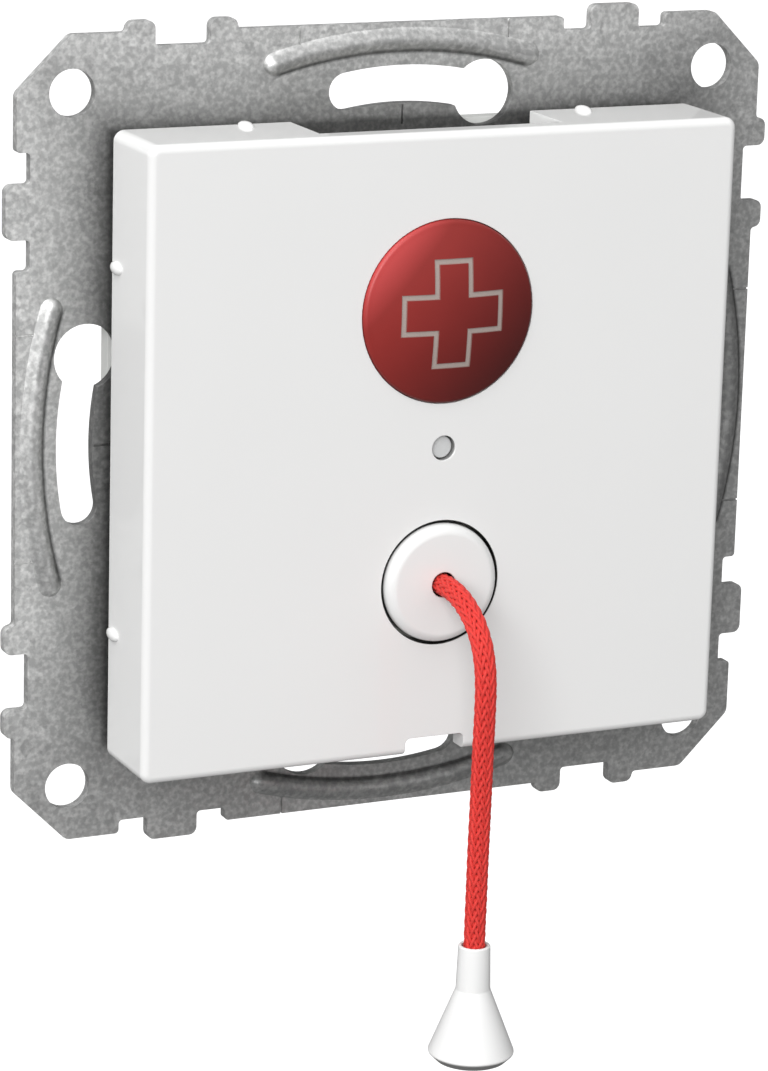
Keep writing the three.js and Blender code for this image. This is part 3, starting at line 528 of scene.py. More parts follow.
def galvanised_steel():
    """Zinc coated sheet, with painted shade under and beside the cover and towards the lower right."""
    finish, tree, shader = new_finish("galvanised_sheet")
    zinc = grouped(tree, SPANGLE, Dark=(0.61, 0.615, 0.61, 1), Light=(1.0, 1.0, 0.99, 1),
                   Crystal_size=0.8 * MM, Roughness=0.5)
    position = place_on_piece(tree)
    x, y, z = node(tree, "ShaderNodeSeparateXYZ", {0: position}).outputs
    out = calc(tree, "MAXIMUM", calc(tree, "ABSOLUTE", x), calc(tree, "ABSOLUTE", z))
    # Painted shade beside the cover: deepest at its sides, less above it and least below it
    above = spread(tree, z, 0.34, 0.44, 22 * MM, 28 * MM)
    deepest = calc(tree, "ADD", above, spread(tree, z, 0.4, 0.0, -28 * MM, -22 * MM))
    beside = spread(tree, out, deepest, 1.0, SHADE_START, SHADE_END)
    # Painted shade over the cover's whole footprint, on both faces of the sheet
    under = spread(tree, out, 0.4, 1.0, SHADE_START - 0.6 * MM, SHADE_START)
    # Painted shade: the sheet darker towards the lower right, away from the light
    to_upper_left = vector_calc(tree, "DOT_PRODUCT", position, (-0.7, 0, 0.7))
    even = spread(tree, to_upper_left, 0.62, 1.0, -14 * MM, 14 * MM)
    lit = calc(tree, "MULTIPLY", calc(tree, "MULTIPLY", beside, under), even)
    lit = calc(tree, "MULTIPLY", lit, bead_shade(tree, x, z))
    tree.links.new(scaled(tree, zinc["Colour"], lit), shader.inputs["Base Color"])
    tree.links.new(zinc["Roughness"], shader.inputs["Roughness"])
    shader.inputs["Metallic"].default_value = 0.85
    bump(tree, shader, zinc["Height"], 0.01 * MM, 0.4)
    return finish


def plated_steel():
    """Zinc plated screws and springs: turned rings too fine to count, and dull patches."""
    finish, tree, shader = new_finish("plated_steel")
    position = place_on_piece(tree)
    drawn = node(tree, "ShaderNodeMapping", {"Vector": position, "Scale": (1, 0.15, 1)}).outputs[0]
    lines = noise(tree, 0.12 * MM, 3.0, drawn)
    patches = noise(tree, 0.8 * MM, 2.0)
    colour = blend_colours(tree, patches, (0.42, 0.43, 0.44, 1), (0.7, 0.71, 0.72, 1))
    tree.links.new(colour, shader.inputs["Base Color"])
    tree.links.new(spread(tree, lines, 0.25, 0.45), shader.inputs["Roughness"])
    shader.inputs["Metallic"].default_value = 1.0
    bump(tree, shader, lines, 0.004 * MM)
    return finish


BUTTON_RADIUS = 8.0 * MM
CROSS_REACH = 4.75 * MM
CROSS_ARM = 1.8 * MM
CROSS_LINE = 0.45 * MM
CROSS_DEPTH = 0.12 * MM


def button_red():
    """Satin red with a fine grain, a painted highlight and painted shade across it, and the line round the
    cross.
    """
    finish, tree, shader = new_finish("button_red")
    position = place_on_piece(tree)
    x, y, z = node(tree, "ShaderNodeSeparateXYZ", {0: position}).outputs
    across = calc(tree, "ABSOLUTE", x)
    up = calc(tree, "ABSOLUTE", calc(tree, "SUBTRACT", z, BUTTON_Z))
    in_arm = calc(tree, "SUBTRACT", calc(tree, "MINIMUM", across, up), CROSS_ARM)
    in_reach = calc(tree, "SUBTRACT", calc(tree, "MAXIMUM", across, up), CROSS_REACH)
    edge = calc(tree, "MAXIMUM", in_arm, in_reach)
    soft = 0.03 * MM
    inside = spread(tree, edge, 1.0, 0.0, -soft, soft)
    past_line = spread(tree, edge, 0.0, 1.0, -CROSS_LINE - soft, -CROSS_LINE + soft)
    on_front = calc(tree, "LESS_THAN", y, COVER_FRONT)
    line = calc(tree, "MULTIPLY", calc(tree, "MULTIPLY", inside, past_line), on_front)
    skin = grouped(tree, MOULDED_SKIN, Colour=(0.29, 0.021, 0.017, 1), Cloud_size=3 * MM,
                   Cloud_depth=0.05, Grain_size=0.14 * MM, Roughness=0.4, Roughness_spread=0.12)
    # Painted highlight towards the upper left rim and painted shade towards the lower right
    lean = calc(tree, "MULTIPLY", vector_calc(
        tree, "DOT_PRODUCT", vector_calc(tree, "SUBTRACT", position, (0, 0, BUTTON_Z)), (0.75, 0, -0.66)),
        1 / BUTTON_RADIUS)
    deep = spread(tree, lean, 1.0, 0.22, -0.5, 1.0)
    painted_highlight = spread(tree, lean, 1.0, 0.0, -1.0, -0.62)
    red_with_painted_light = blend_colours(tree, painted_highlight, scaled(tree, skin["Colour"], deep), (0.60, 0.06, 0.06, 1))
    print_grain = noise(tree, 0.12 * MM)
    print_colour = blend_colours(tree, print_grain, (0.36, 0.30, 0.27, 1), (0.46, 0.39, 0.36, 1))
    tree.links.new(blend_colours(tree, line, red_with_painted_light, print_colour), shader.inputs["Base Color"])
    tree.links.new(calc(tree, "MULTIPLY_ADD", line, 0.15, skin["Roughness"]), shader.inputs["Roughness"])
    bump(tree, shader, skin["Height"], 0.004 * MM)
    return finish


def cloudy_lens():
    """Pale, slightly milky plastic that lets a little light through."""
    finish, tree, shader = new_finish("cloudy_lens")
    skin = grouped(tree, MOULDED_SKIN, Colour=(0.78, 0.79, 0.79, 1), Cloud_size=0.8 * MM,
                   Cloud_depth=0.1, Grain_size=0.1 * MM, Roughness=0.12, Roughness_spread=0.06)
    tree.links.new(skin["Colour"], shader.inputs["Base Color"])
    tree.links.new(skin["Roughness"], shader.inputs["Roughness"])
    shader.inputs["Transmission Weight"].default_value = 0.15
    bump(tree, shader, skin["Height"], 0.002 * MM)
    return finish


def cord_finish(name, dark, light, roughness):
    """Dyed yarn: fine fibres along the strands."""
    finish, tree, shader = new_finish(name)
    fibres = noise(tree, 0.05 * MM, 3.0)
    patches = noise(tree, 0.9 * MM, 2.0)
    share = calc(tree, "MULTIPLY_ADD", patches, 0.5, calc(tree, "MULTIPLY", fibres, 0.5))
    tree.links.new(blend_colours(tree, share, dark, light), shader.inputs["Base Color"])
    tree.links.new(spread(tree, fibres, roughness - 0.1, roughness + 0.1), shader.inputs["Roughness"])
    shader.inputs["Sheen Weight"].default_value = 0.1
    shader.inputs["Sheen Roughness"].default_value = 0.4
    shader.inputs["Sheen Tint"].default_value = (1, 0.5, 0.45, 1)
    bump(tree, shader, fibres, 0.02 * MM, 0.5)
    return finish


def board_green():
    """Solder mask with thin traces under it."""
    finish, tree, shader = new_finish("board_green")
    position = place_on_piece(tree)
    flat = node(tree, "ShaderNodeMapping", {"Vector": position, "Rotation": (math.pi / 2, 0, 0)}).outputs[0]
    tracks = node(tree, "ShaderNodeTexBrick", {
        "Vector": flat, "Scale": 1 / (3 * MM), "Mortar Size": 0.08, "Mortar Smooth": 0.3,
        "Brick Width": 1.7, "Row Height": 0.45}).outputs["Fac"]
    skin = grouped(tree, MOULDED_SKIN, Colour=(0.02, 0.13, 0.05, 1), Cloud_size=5 * MM,
                   Cloud_depth=0.08, Grain_size=0.3 * MM, Roughness=0.32, Roughness_spread=0.08)
    tree.links.new(blend_colours(tree, tracks, skin["Colour"], (0.05, 0.24, 0.1, 1)),
                   shader.inputs["Base Color"])
    tree.links.new(skin["Roughness"], shader.inputs["Roughness"])
    bump(tree, shader, tracks, 0.03 * MM, 0.6)
    return finish


INNER_WHITE = plastic("inner_white", (0.78, 0.78, 0.75), 0.45, cloud=0.03)
HOUSING_GREY = plastic("housing_grey", (0.70, 0.71, 0.69), 0.5, cloud=0.05, grain=0.25 * MM,
                       depth=0.015 * MM, roughness_spread=0.12)
SWITCH_BLACK = plastic("switch_black", (0.03, 0.03, 0.03), 0.5, cloud=0.1, grain=0.2 * MM, depth=0.01 * MM)
TERMINAL_GREEN = plastic("terminal_green", (0.045, 0.25, 0.11), 0.45, cloud=0.08, grain=0.2 * MM,
                         depth=0.01 * MM)
GALVANISED = galvanised_steel()
PLATED = plated_steel()
BUTTON_RED = button_red()
LENS = cloudy_lens()
CORD_RED = cord_finish("cord_red", (0.62, 0.024, 0.02, 1), (0.82, 0.055, 0.042, 1), 0.7)
# The braid's core in a deep tone, as painted shade in the gaps between the strands.
CORD_SHADE = cord_finish("cord_shade", (0.12, 0.005, 0.004, 1), (0.2, 0.009, 0.007, 1), 0.9)
BOARD_GREEN = board_green()


# Mounting plate

PLATE_HALF = 35.3 * MM
PLATE_CORNER = 30.5 * MM
TAB_TIP = 36.25 * MM
NOTCH_FLOOR = 34.1 * MM
FORK = (-25.5 * MM, -23.0 * MM, -18.0 * MM, -15.5 * MM)
KEY = (15.45 * MM, 18.15 * MM, 22.85 * MM, 25.55 * MM)
TAB_ROUND = 0.7 * MM
NOTCH_ROUND = 0.35 * MM
PLATE_CORNER_ROUND = 1.0 * MM
CORNER_HOLE = 30.4 * MM
CORNER_HOLE_RADIUS = 2.05 * MM
SLOT_RADIUS = 30.0 * MM
SLOT_WIDTH = 3.3 * MM
SLOT_START = math.radians(-10.2)
KEYHOLE_ANGLE = math.radians(15.0)
KEYHOLE_RADIUS = 2.9 * MM
BEAD_RISE = 0.65 * MM
BEAD_FLARE = 0.2 * MM  # how far the bead's foot runs out into the sheet
BEAD_WALL = 0.35 * MM  # at its foot
BEAD_TIP = 0.06  # the size of its very end, as a share of its middle
SHEET_EDGE = 0.09 * MM
WINDOW_HALF_WIDTH = 16.5 * MM
WINDOW_HALF_HEIGHT = 19.0 * MM
WINDOW_ROUND = 1.5 * MM
ASSEMBLY_SCREW = (20.0 * MM, 14.0 * MM)
SCREW_HOLE = 1.15 * MM


def plate_outline():
    """The plate's edge: one side with its tabs and notches, turned to all four."""
    side = [(-PLATE_CORNER, PLATE_HALF, PLATE_CORNER_ROUND),
            (FORK[0], PLATE_HALF, NOTCH_ROUND), (FORK[0], TAB_TIP, TAB_ROUND),
            (FORK[1], TAB_TIP, TAB_ROUND), (FORK[1], NOTCH_FLOOR, NOTCH_ROUND),
            (FORK[2], NOTCH_FLOOR, NOTCH_ROUND), (FORK[2], TAB_TIP, TAB_ROUND),
            (FORK[3], TAB_TIP, TAB_ROUND), (FORK[3], PLATE_HALF, NOTCH_ROUND),
            (KEY[0], PLATE_HALF, NOTCH_ROUND), (KEY[0], NOTCH_FLOOR, NOTCH_ROUND),
            (KEY[1], NOTCH_FLOOR, NOTCH_ROUND), (KEY[1], TAB_TIP, TAB_ROUND),
            (KEY[2], TAB_TIP, TAB_ROUND), (KEY[2], NOTCH_FLOOR, NOTCH_ROUND),
            (KEY[3], NOTCH_FLOOR, NOTCH_ROUND), (KEY[3], PLATE_HALF, NOTCH_ROUND),
            (PLATE_CORNER, PLATE_HALF, PLATE_CORNER_ROUND)]
    corners = [(*to_side(turn, along, out), radius) for turn in FOUR_SIDES for along, out, radius in side]
    return rounded(corners, steps=5)


def arc(centre, radius, start, end, steps):
    """Points along a circle. Angles run clockwise from the top."""
    angles = [start + (end - start) * k / steps for k in range(steps + 1)]
    return [Vector((centre[0] + radius * math.sin(a), centre[1] + radius * math.cos(a))) for a in angles]


def slot_outline(side):
    """A slot bent along the circle of the box screws, ending in a keyhole."""
    def mouth(edge):
        share = (edge ** 2 - SLOT_RADIUS ** 2 - KEYHOLE_RADIUS ** 2) / (2 * SLOT_RADIUS * KEYHOLE_RADIUS)
        return math.acos(share)

    def at_keyhole(edge):
        turn = mouth(edge)
        return math.atan2(KEYHOLE_RADIUS * math.sin(turn), SLOT_RADIUS + KEYHOLE_RADIUS * math.cos(turn))

    outer = SLOT_RADIUS + SLOT_WIDTH / 2
    inner = SLOT_RADIUS - SLOT_WIDTH / 2
    end = [SLOT_RADIUS * math.sin(SLOT_START), SLOT_RADIUS * math.cos(SLOT_START)]
    keyhole = [SLOT_RADIUS * math.sin(KEYHOLE_ANGLE), SLOT_RADIUS * math.cos(KEYHOLE_ANGLE)]
    points = arc((0, 0), outer, SLOT_START, KEYHOLE_ANGLE - at_keyhole(outer), 16)
    points += arc(keyhole, KEYHOLE_RADIUS, KEYHOLE_ANGLE - mouth(outer),
                  KEYHOLE_ANGLE + 2 * math.pi - mouth(inner), 40)[1:-1]
    points += arc((0, 0), inner, KEYHOLE_ANGLE - at_keyhole(inner), SLOT_START, 16)
    points += arc(end, SLOT_WIDTH / 2, SLOT_START + math.pi, SLOT_START + 2 * math.pi, 16)[1:-1]
    return [to_side(side, *point) for point in points]


def sheet_with_holes(name, outlines, front, back):
    """A flat sheet from one outline and the holes in it."""
    drawing = bpy.data.curves.new(name, "CURVE")
    drawing.dimensions = "2D"
    drawing.fill_mode = "BOTH"
    drawing.extrude = (back - front) / 2
    for outline in outlines:
        spline = drawing.splines.new("POLY")
        spline.points.add(len(outline) - 1)
        for point, (x, z) in zip(spline.points, outline):
            point.co = (x, z, 0, 1)
        spline.use_cyclic_u = True
    drawn = as_object(name, drawing)
    bpy.context.view_layer.update()
    mesh = evaluated_mesh(drawn)
    bpy.data.objects.remove(drawn)
    middle = (front + back) / 2
    for vertex in mesh.vertices:
        x, z, y = vertex.co
        vertex.co = (x, middle - y, z)
    mesh.name = name
    sheet = as_object(name, mesh)
    merge(sheet)
    face_outwards(sheet)
    return sheet


def bead_ridge(side, half_width, rise, front, foot):
    """The pressed bead: a soft ridge along an arc, tapered to both ends."""
    half_angle = math.asin(BEAD_REACH / BEAD_ARC)
    tip_angle = half_width / BEAD_ARC
    around = 14
    stations = [(-half_angle - math.cos(t) * tip_angle, max(math.sin(t), BEAD_TIP)) for t in quarter(8)[:-1]]
    stations += [(half_angle * (k / 12 - 1), 1.0) for k in range(25)]
    stations += [(half_angle + math.sin(t) * tip_angle, max(math.cos(t), BEAD_TIP)) for t in quarter(8)[1:]]
    rings = []
    for angle, size in stations:
        section = [(1, foot)]
        section += [(1 - 2 * k / around, front - rise * size * math.sin(math.pi * k / around))
                    for k in range(around + 1)]
        section += [(-1, foot)]
        ring = []
        for across, y in section:
            radius = BEAD_ARC + half_width * size * across
            out = BEAD_MIDDLE - BEAD_ARC + radius * math.cos(angle)
            x, z = to_side(side, radius * math.sin(angle), out)
            ring.append((x, y, z))
        rings.append(ring)
    return loft("bead", rings)


MARK_DEPTH = 0.25 * MM
MARK_WIDTH = 0.2 * MM
MARK_START = 33.7 * MM
MARK_END = PLATE_HALF + PAST
SIDE_MARKS = (  # along the side, where the line starts and ends
    (-9.85 * MM, MARK_START, MARK_END),
    (10.0 * MM, MARK_START, MARK_END),
    (0.0, 26.5 * MM, 28.2 * MM),
)


def score_marks():
    """Short scribed lines on the front of the sheet, three on each side."""
    marks = []
    for side in FOUR_SIDES:
        for along, inner, outer in SIDE_MARKS:
            left = along - MARK_WIDTH / 2
            right = along + MARK_WIDTH / 2
            corners = [(left, inner), (right, inner), (right, outer), (left, outer)]
            marks.append(prism("mark", [to_side(side, *corner) for corner in corners],
                               PLATE_FRONT - PAST, PLATE_FRONT + MARK_DEPTH))
    return gathered("marks", marks)


def four_holes(across, up, radius, steps):
    """Round holes, the same distance from the middle in all four quarters."""
    return [arc((x * across, z * up), radius, 0, 2 * math.pi, steps)[:-1] for x in (-1, 1) for z in (-1, 1)]


def mounting_plate():
    """The sheet with its holes, the pressed beads, hollow from behind, and the scribed lines."""
    window = rounded([(x * WINDOW_HALF_WIDTH, z * WINDOW_HALF_HEIGHT, WINDOW_ROUND)
                      for x, z in ((-1, -1), (1, -1), (1, 1), (-1, 1))])
    holes = four_holes(CORNER_HOLE, CORNER_HOLE, CORNER_HOLE_RADIUS, 40)
    holes += four_holes(*ASSEMBLY_SCREW, SCREW_HOLE, 24)
    slots = [slot_outline(side) for side in FOUR_SIDES]
    plate = sheet_with_holes("plate", [plate_outline(), window, *holes, *slots], PLATE_FRONT, 0)
    ease_edges(plate, SHEET_EDGE, angle=60)
    half = BEAD_WIDTH / 2
    join(plate, gathered("beads", [
        bead_ridge(side, half + BEAD_FLARE, BEAD_RISE, PLATE_FRONT + 0.02 * MM, PLATE_FRONT + 0.3 * MM)
        for side in FOUR_SIDES]))
    hollows = [bead_ridge(side, half - BEAD_WALL, BEAD_RISE * 0.9, 0, PAST) for side in FOUR_SIDES]
    cut(plate, gathered("hollows", hollows), score_marks())
    smooth(plate, 35)
    place(plate, "unit", "galvanised_steel", GALVANISED, "mounting_plate")


# Cover

COVER_HALF = 27.5 * MM
FACE_THICKNESS = 2.2 * MM
SIDE_THICKNESS = 1.8 * MM
COVER_CORNER = 0.95 * MM
COVER_EDGE = 0.7 * MM
CUTAWAY = 11.35 * MM
NUB_PLACE = 16.0 * MM
NUB_SIZE = (0.6 * MM, 1.2 * MM, 0.45 * MM)  # along the side, front to back, out
CORD_NOTCH = (2.8 * MM, 1.5 * MM, 0.5 * MM)  # half width, height, corner
BUTTON_HOLE = (8.06 * MM, 0.06 * MM)  # radius, soft lip
LENS_HOLE = (1.1 * MM, 0.06 * MM)
PLUNGER_HOLE = (5.58 * MM, 0.05 * MM)
SNAP_PLACE = 13.0 * MM
SNAP_WIDTH = 5.0 * MM
SNAP_RIB = 0.8 * MM
SNAP_GAP = 0.3 * MM
CARRIER_THICKNESS = 2.1 * MM
INNER_CORNER = 0.5 * MM
MOULDED_EDGE = 0.1 * MM

# Painted shade on the walls of the lens hole and the plunger hole, so they read as dark gaps.
COVER_WHITE = plastic(
    "cover_white", (0.87, 0.87, 0.865), 0.06, cloud=0.012, cloud_size=14 * MM, grain=0.5 * MM,
    depth=0.0008 * MM, roughness_spread=0.03, gaps=(
        (0.0, 0.0, LENS_HOLE[0] + 0.02 * MM, COVER_FRONT + 0.1 * MM, FAR, 0.7),
        (PLUNGER_Z, 0.0, PLUNGER_HOLE[0] + 0.03 * MM, COVER_FRONT - 0.06 * MM, FAR, 0.97)))


def rounded_square(half, radius, y, steps=FILLET_STEPS):
    """A ring of points round a square with round corners, at one depth."""
    corners = [(-half, -half, radius), (half, -half, radius), (half, half, radius), (-half, half, radius)]
    return [(x, y, z) for x, z in rounded(corners, steps=steps)]


def flared_hole(size, z):
    """What a round hole takes away, with a soft lip at the front."""
    radius, flare = size
    lip = [(radius + flare * (1 - math.sin(t)), COVER_FRONT + flare * (1 - math.cos(t)))
           for t in quarter(4)]
    ahead = COVER_FRONT - PAST
    behind = COVER_FRONT + FACE_THICKNESS + PAST
    return turned("hole", [(0, ahead), (radius + flare, ahead), *lip, (radius, behind), (0, behind)], (0, z))


def cover_nub(side, along):
    """A small round bump on one of the cover's sides, where a surround frame catches."""
    nub = bpy.data.meshes.new("nub")
    bm = bmesh.new()
    bmesh.ops.create_uvsphere(bm, u_segments=20, v_segments=12, radius=1)
    bm.to_mesh(nub)
    bm.free()
    for vertex in nub.vertices:
        out = COVER_HALF + vertex.co.z * NUB_SIZE[2]
        x, z = to_side(side, along + vertex.co.x * NUB_SIZE[0], out)
        vertex.co = (x, COVER_RIM - NUB_SIZE[1] + vertex.co.y * NUB_SIZE[1], z)
    return as_object("nub", nub)


def cover():
    """The shell, hollow from behind and cut away at the back of its top and bottom walls."""
    rings = [rounded_square(COVER_HALF - COVER_EDGE * (1 - math.sin(t)),
                            COVER_CORNER - COVER_EDGE * (1 - math.sin(t)),
                            COVER_FRONT + COVER_EDGE * (1 - math.cos(t))) for t in quarter(FILLET_STEPS)]
    shell = loft("cover_shell", [*rings, rounded_square(COVER_HALF, COVER_CORNER, COVER_RIM)])
    inside = COVER_FRONT + FACE_THICKNESS
    past_rim = COVER_RIM + PAST
    inner = COVER_HALF - SIDE_THICKNESS
    hollow = loft("hollow", [rounded_square(inner, INNER_CORNER, y, steps=4) for y in (inside, past_rim)])
    notch_half, notch_height, notch_round = CORD_NOTCH
    notch_top = notch_height - COVER_HALF
    notch_bottom = -COVER_HALF - PAST
    notch = prism("notch", rounded([
        (-notch_half, notch_bottom), (notch_half, notch_bottom), (notch_half, notch_top, notch_round),
        (-notch_half, notch_top, notch_round)], steps=6), COVER_FRONT - PAST, inside + PAST)
    cutaways = [block("cutaway", -CUTAWAY, CUTAWAY, inside, past_rim,
                      *sorted((side * (inner - PAST), side * (COVER_HALF + PAST)))) for side in (-1, 1)]
    cut(shell, hollow, gathered("cutaways", cutaways), notch)
    cut(shell, gathered("holes", [flared_hole(BUTTON_HOLE, BUTTON_Z), flared_hole(LENS_HOLE, 0),
                                  flared_hole(PLUNGER_HOLE, PLUNGER_Z)]))
    ease_edges(shell, MOULDED_EDGE, angle=62)
    rib_back = carrier_back - CARRIER_THICKNESS - SNAP_RIB - SNAP_GAP
    ribs = [block("rib", *sorted((side * (inner - SNAP_RIB), side * (inner + BOND))),
                  rib_back - SNAP_RIB, rib_back, at - SNAP_WIDTH / 2, at + SNAP_WIDTH / 2)
            for side in (-1, 1) for at in (-SNAP_PLACE, SNAP_PLACE)]
    nubs = [cover_nub(side, along) for side in FOUR_SIDES for along in (-NUB_PLACE, NUB_PLACE)]
    join(shell, gathered("ribs", ribs), gathered("nubs", nubs))
    smooth(shell, 35)
    place(shell, "unit", "white_shell", COVER_WHITE, "cover")


# Call button

BUTTON_RIM_RISE = 0.3 * MM
BUTTON_DOME = 0.9 * MM
BUTTON_EDGE = 0.4 * MM
BUTTON_WALL = 1.2 * MM
BUTTON_LIP = (0.9 * MM, 1.0 * MM)  # width, thickness
BUTTON_STEM = 1.6 * MM


def dome(shift, steps=24):
    """The button's front from its middle outwards, as (radius, y)."""
    rim = BUTTON_RADIUS - BUTTON_EDGE
    sphere = (rim ** 2 + BUTTON_DOME ** 2) / (2 * BUTTON_DOME)
    radii = [rim * k / steps for k in range(steps + 1)]
    return [(r, button_low.y + sphere - math.sqrt(sphere ** 2 - r ** 2) + shift) for r in radii]


def cross_outline(inset):
    """The cross on the button, drawn in by an inset."""
    reach = CROSS_REACH - inset
    arm = CROSS_ARM - inset
    corners = [to_side(side, along, out) for side in FOUR_SIDES
               for along, out in ((-arm, arm), (-arm, reach), (arm, reach))]
    return [(x, z + BUTTON_Z) for x, z in corners]


def call_button():
    """The domed cap on its stem, with the outline of the cross sunk into its front."""
    rim = COVER_FRONT - BUTTON_RIM_RISE
    lip_front = COVER_FRONT + FACE_THICKNESS + REST_GAP
    lip_back = lip_front + BUTTON_LIP[1]
    ceiling = COVER_FRONT + BUTTON_WALL
    inner = BUTTON_RADIUS - BUTTON_WALL
    outer = BUTTON_RADIUS + BUTTON_LIP[0]
    edge = [(BUTTON_RADIUS - BUTTON_EDGE * (1 - math.sin(t)), rim + BUTTON_EDGE * (1 - math.cos(t)))
            for t in quarter(FILLET_STEPS)[1:]]
    profile = [*dome(0), *edge, (BUTTON_RADIUS, lip_front), (outer, lip_front), (outer, lip_back),
               (inner, lip_back), (inner, ceiling), (BUTTON_STEM, ceiling), (BUTTON_STEM, button_high.y),
               (0, button_high.y)]
    button = turned("call_button_cap", profile, (0, BUTTON_Z))
    bed_back = COVER_FRONT + PAST
    bed = turned("bed", [*dome(CROSS_DEPTH), (BUTTON_RADIUS, bed_back), (0, bed_back)], (0, BUTTON_Z))
    front = button_low.y - PAST
    line = prism("line", cross_outline(0), front, COVER_FRONT)
    cut(line, prism("middle", cross_outline(CROSS_LINE), front - PAST, bed_back), bed)
    cut(button, line)
    smooth(button, 30)
    place(button, "button", "button_red", BUTTON_RED, "call_button")


# Signal lamp

LENS_RADIUS = 1.0 * MM
LENS_FLANGE = (1.8 * MM, 0.8 * MM)  # radius, thickness
LED_RIM = 0.6 * MM


def signal_lamp():
    """The lens with its flange behind the cover's face, and the diode behind it."""
    flange, thickness = LENS_FLANGE
    flange_front = COVER_FRONT + FACE_THICKNESS + REST_GAP
    flange_back = flange_front + thickness
    end_round = 0.15 * MM
    flange_round = 0.1 * MM
    profile = rounded([
        (0, lens_low.y), (LENS_RADIUS, lens_low.y, end_round), (LENS_RADIUS, flange_front),
        (flange, flange_front, flange_round), (flange, flange_back, flange_round),
        (LENS_RADIUS, flange_back), (LENS_RADIUS, lens_high.y, end_round), (0, lens_high.y)],
        closed=False, steps=4)
    lamp = smooth(turned("lamp_lens", profile, (0, 0), steps=48), 35)
    place(lamp, "unit", "lens", LENS, "light_guide")
    led_low, led_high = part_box("status_led")
    radius = (led_high.x - led_low.x) / 2
    profile = rounded([(0, led_low.y), (radius, led_low.y, radius * 0.9), (radius, led_high.y - LED_RIM),
                       (radius, led_high.y), (0, led_high.y)], closed=False)
    led = smooth(turned("led_body", profile, (0, 0), steps=48), 35)
    place(led, "unit", "lens", LENS, "status_led")


# Pull plunger, its collar and the handle

CORD_BORE = 1.1 * MM
PLUNGER_RADIUS = 5.3 * MM
PLUNGER_FLAT = 4.4 * MM
PLUNGER_SHOULDER = 1.1 * MM
PLUNGER_BACK = -8.9 * MM
PLUNGER_STEM = 2.2 * MM
PLUNGER_TAIL = 1.8 * MM
BORE_LIP = 0.15 * MM
COLLAR_EDGE = 0.15 * MM

# Painted shade on the disc's side wall, where it stands in the cover's hole, and in the cord's bore.
PLUNGER_WHITE = plastic(
    "plunger_white", (0.87, 0.87, 0.865), 0.2, cloud=0.012, cloud_size=8 * MM, gaps=(
        (PLUNGER_Z, PLUNGER_RADIUS - 0.06 * MM, FAR, COVER_FRONT + 0.15 * MM, COVER_FRONT + 1.1 * MM, 0.9),
        (PLUNGER_Z, 0.0, CORD_BORE + 0.05 * MM, plunger_low.y + 0.1 * MM, FAR, 0.97)))


def plunger_and_collar():
    """The disc that the cord comes out of, its stem, and the collar on the stem's tail."""
    front = plunger_low.y
    collar_low, collar_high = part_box("plunger_collar")
    tail_start = collar_low.y - REST_GAP
    drop = PLUNGER_RADIUS - PLUNGER_FLAT
    shoulder = [(PLUNGER_FLAT + drop * math.sin(t), front + PLUNGER_SHOULDER * (1 - math.cos(t)))
                for t in quarter(12)]
    profile = [(CORD_BORE, front + BORE_LIP), (CORD_BORE + BORE_LIP * 0.3, front + BORE_LIP * 0.3),
               (CORD_BORE + BORE_LIP, front), *shoulder, (PLUNGER_RADIUS, PLUNGER_BACK),
               (PLUNGER_STEM, PLUNGER_BACK), (PLUNGER_STEM, tail_start), (PLUNGER_TAIL, tail_start),
               (PLUNGER_TAIL, plunger_high.y), (CORD_BORE, plunger_high.y)]
    plunger = smooth(turned("plunger_disc", profile, (0, PLUNGER_Z), closed=True), 35)
    place(plunger, "pull", "white_shell", PLUNGER_WHITE, "pull_plunger")
    inner = PLUNGER_TAIL + REST_GAP
    outer = (collar_high.x - collar_low.x) / 2
    front, back = collar_low.y, collar_high.y
    ring = rounded([(radius, y, COLLAR_EDGE) for radius, y in (
        (inner, front), (outer, front), (outer, back), (inner, back))], steps=3)
    collar = smooth(turned("collar_ring", ring, (0, PLUNGER_Z), closed=True, steps=64), 35)
    place(collar, "pull", "inner_white", INNER_WHITE, "plunger_collar")


NECK_TOP = 1.4 * MM
NECK_END = 1.52 * MM
NECK_LENGTH = 4.0 * MM
CONE_RADIUS = 3.8 * MM
CONE_LENGTH = 5.8 * MM
HANDLE_CHAMFER = 0.7 * MM
KNOT_POCKET = (1.95 * MM, 4.5 * MM)  # radius, depth


def handle_white():
    """White plastic, with painted shade on the slope under the rim."""
    finish = plastic("handle_white", (0.87, 0.87, 0.865), 0.32, cloud=0.012, cloud_size=4 * MM,
                     grain=0.2 * MM)
    tree = finish.node_tree
    base = tree.nodes["Principled BSDF"].inputs["Base Color"]
    position = place_on_piece(tree)
    z = node(tree, "ShaderNodeSeparateXYZ", {0: position}).outputs[2]
    rim = handle_high.z - NECK_LENGTH - CONE_LENGTH
    # Painted shade: the slope under the rim made grey
    lit = spread(tree, z, 0.24, 1.0, rim - 0.15 * MM, rim + 0.05 * MM)
    tree.links.new(scaled(tree, base.links[0].from_socket, lit), base)
    return finish


HANDLE_WHITE = handle_white()


def pull_handle():
    """The neck and the cone, with a bore for the cord and a pocket for its knot."""
    top = handle_high.z
    bottom = handle_low.z
    neck_end = top - NECK_LENGTH
    cone_end = neck_end - CONE_LENGTH
    pocket, depth = KNOT_POCKET
    section = rounded([
        (CORD_BORE, top, 0.1 * MM), (NECK_TOP, top, 0.15 * MM), (NECK_END, neck_end, 0.15 * MM),
        (CONE_RADIUS, cone_end, 0.25 * MM), (CONE_RADIUS - HANDLE_CHAMFER, bottom, 0.12 * MM),
        (pocket, bottom, 0.12 * MM), (pocket, bottom + depth, 0.2 * MM), (CORD_BORE, bottom + depth)])
    handle = smooth(turned("handle_bell", section, (0, HANDLE_Y), axis="Z", closed=True), 40)
    place(handle, "pull", "white_shell", HANDLE_WHITE, "pull_handle")


# Cord and knots

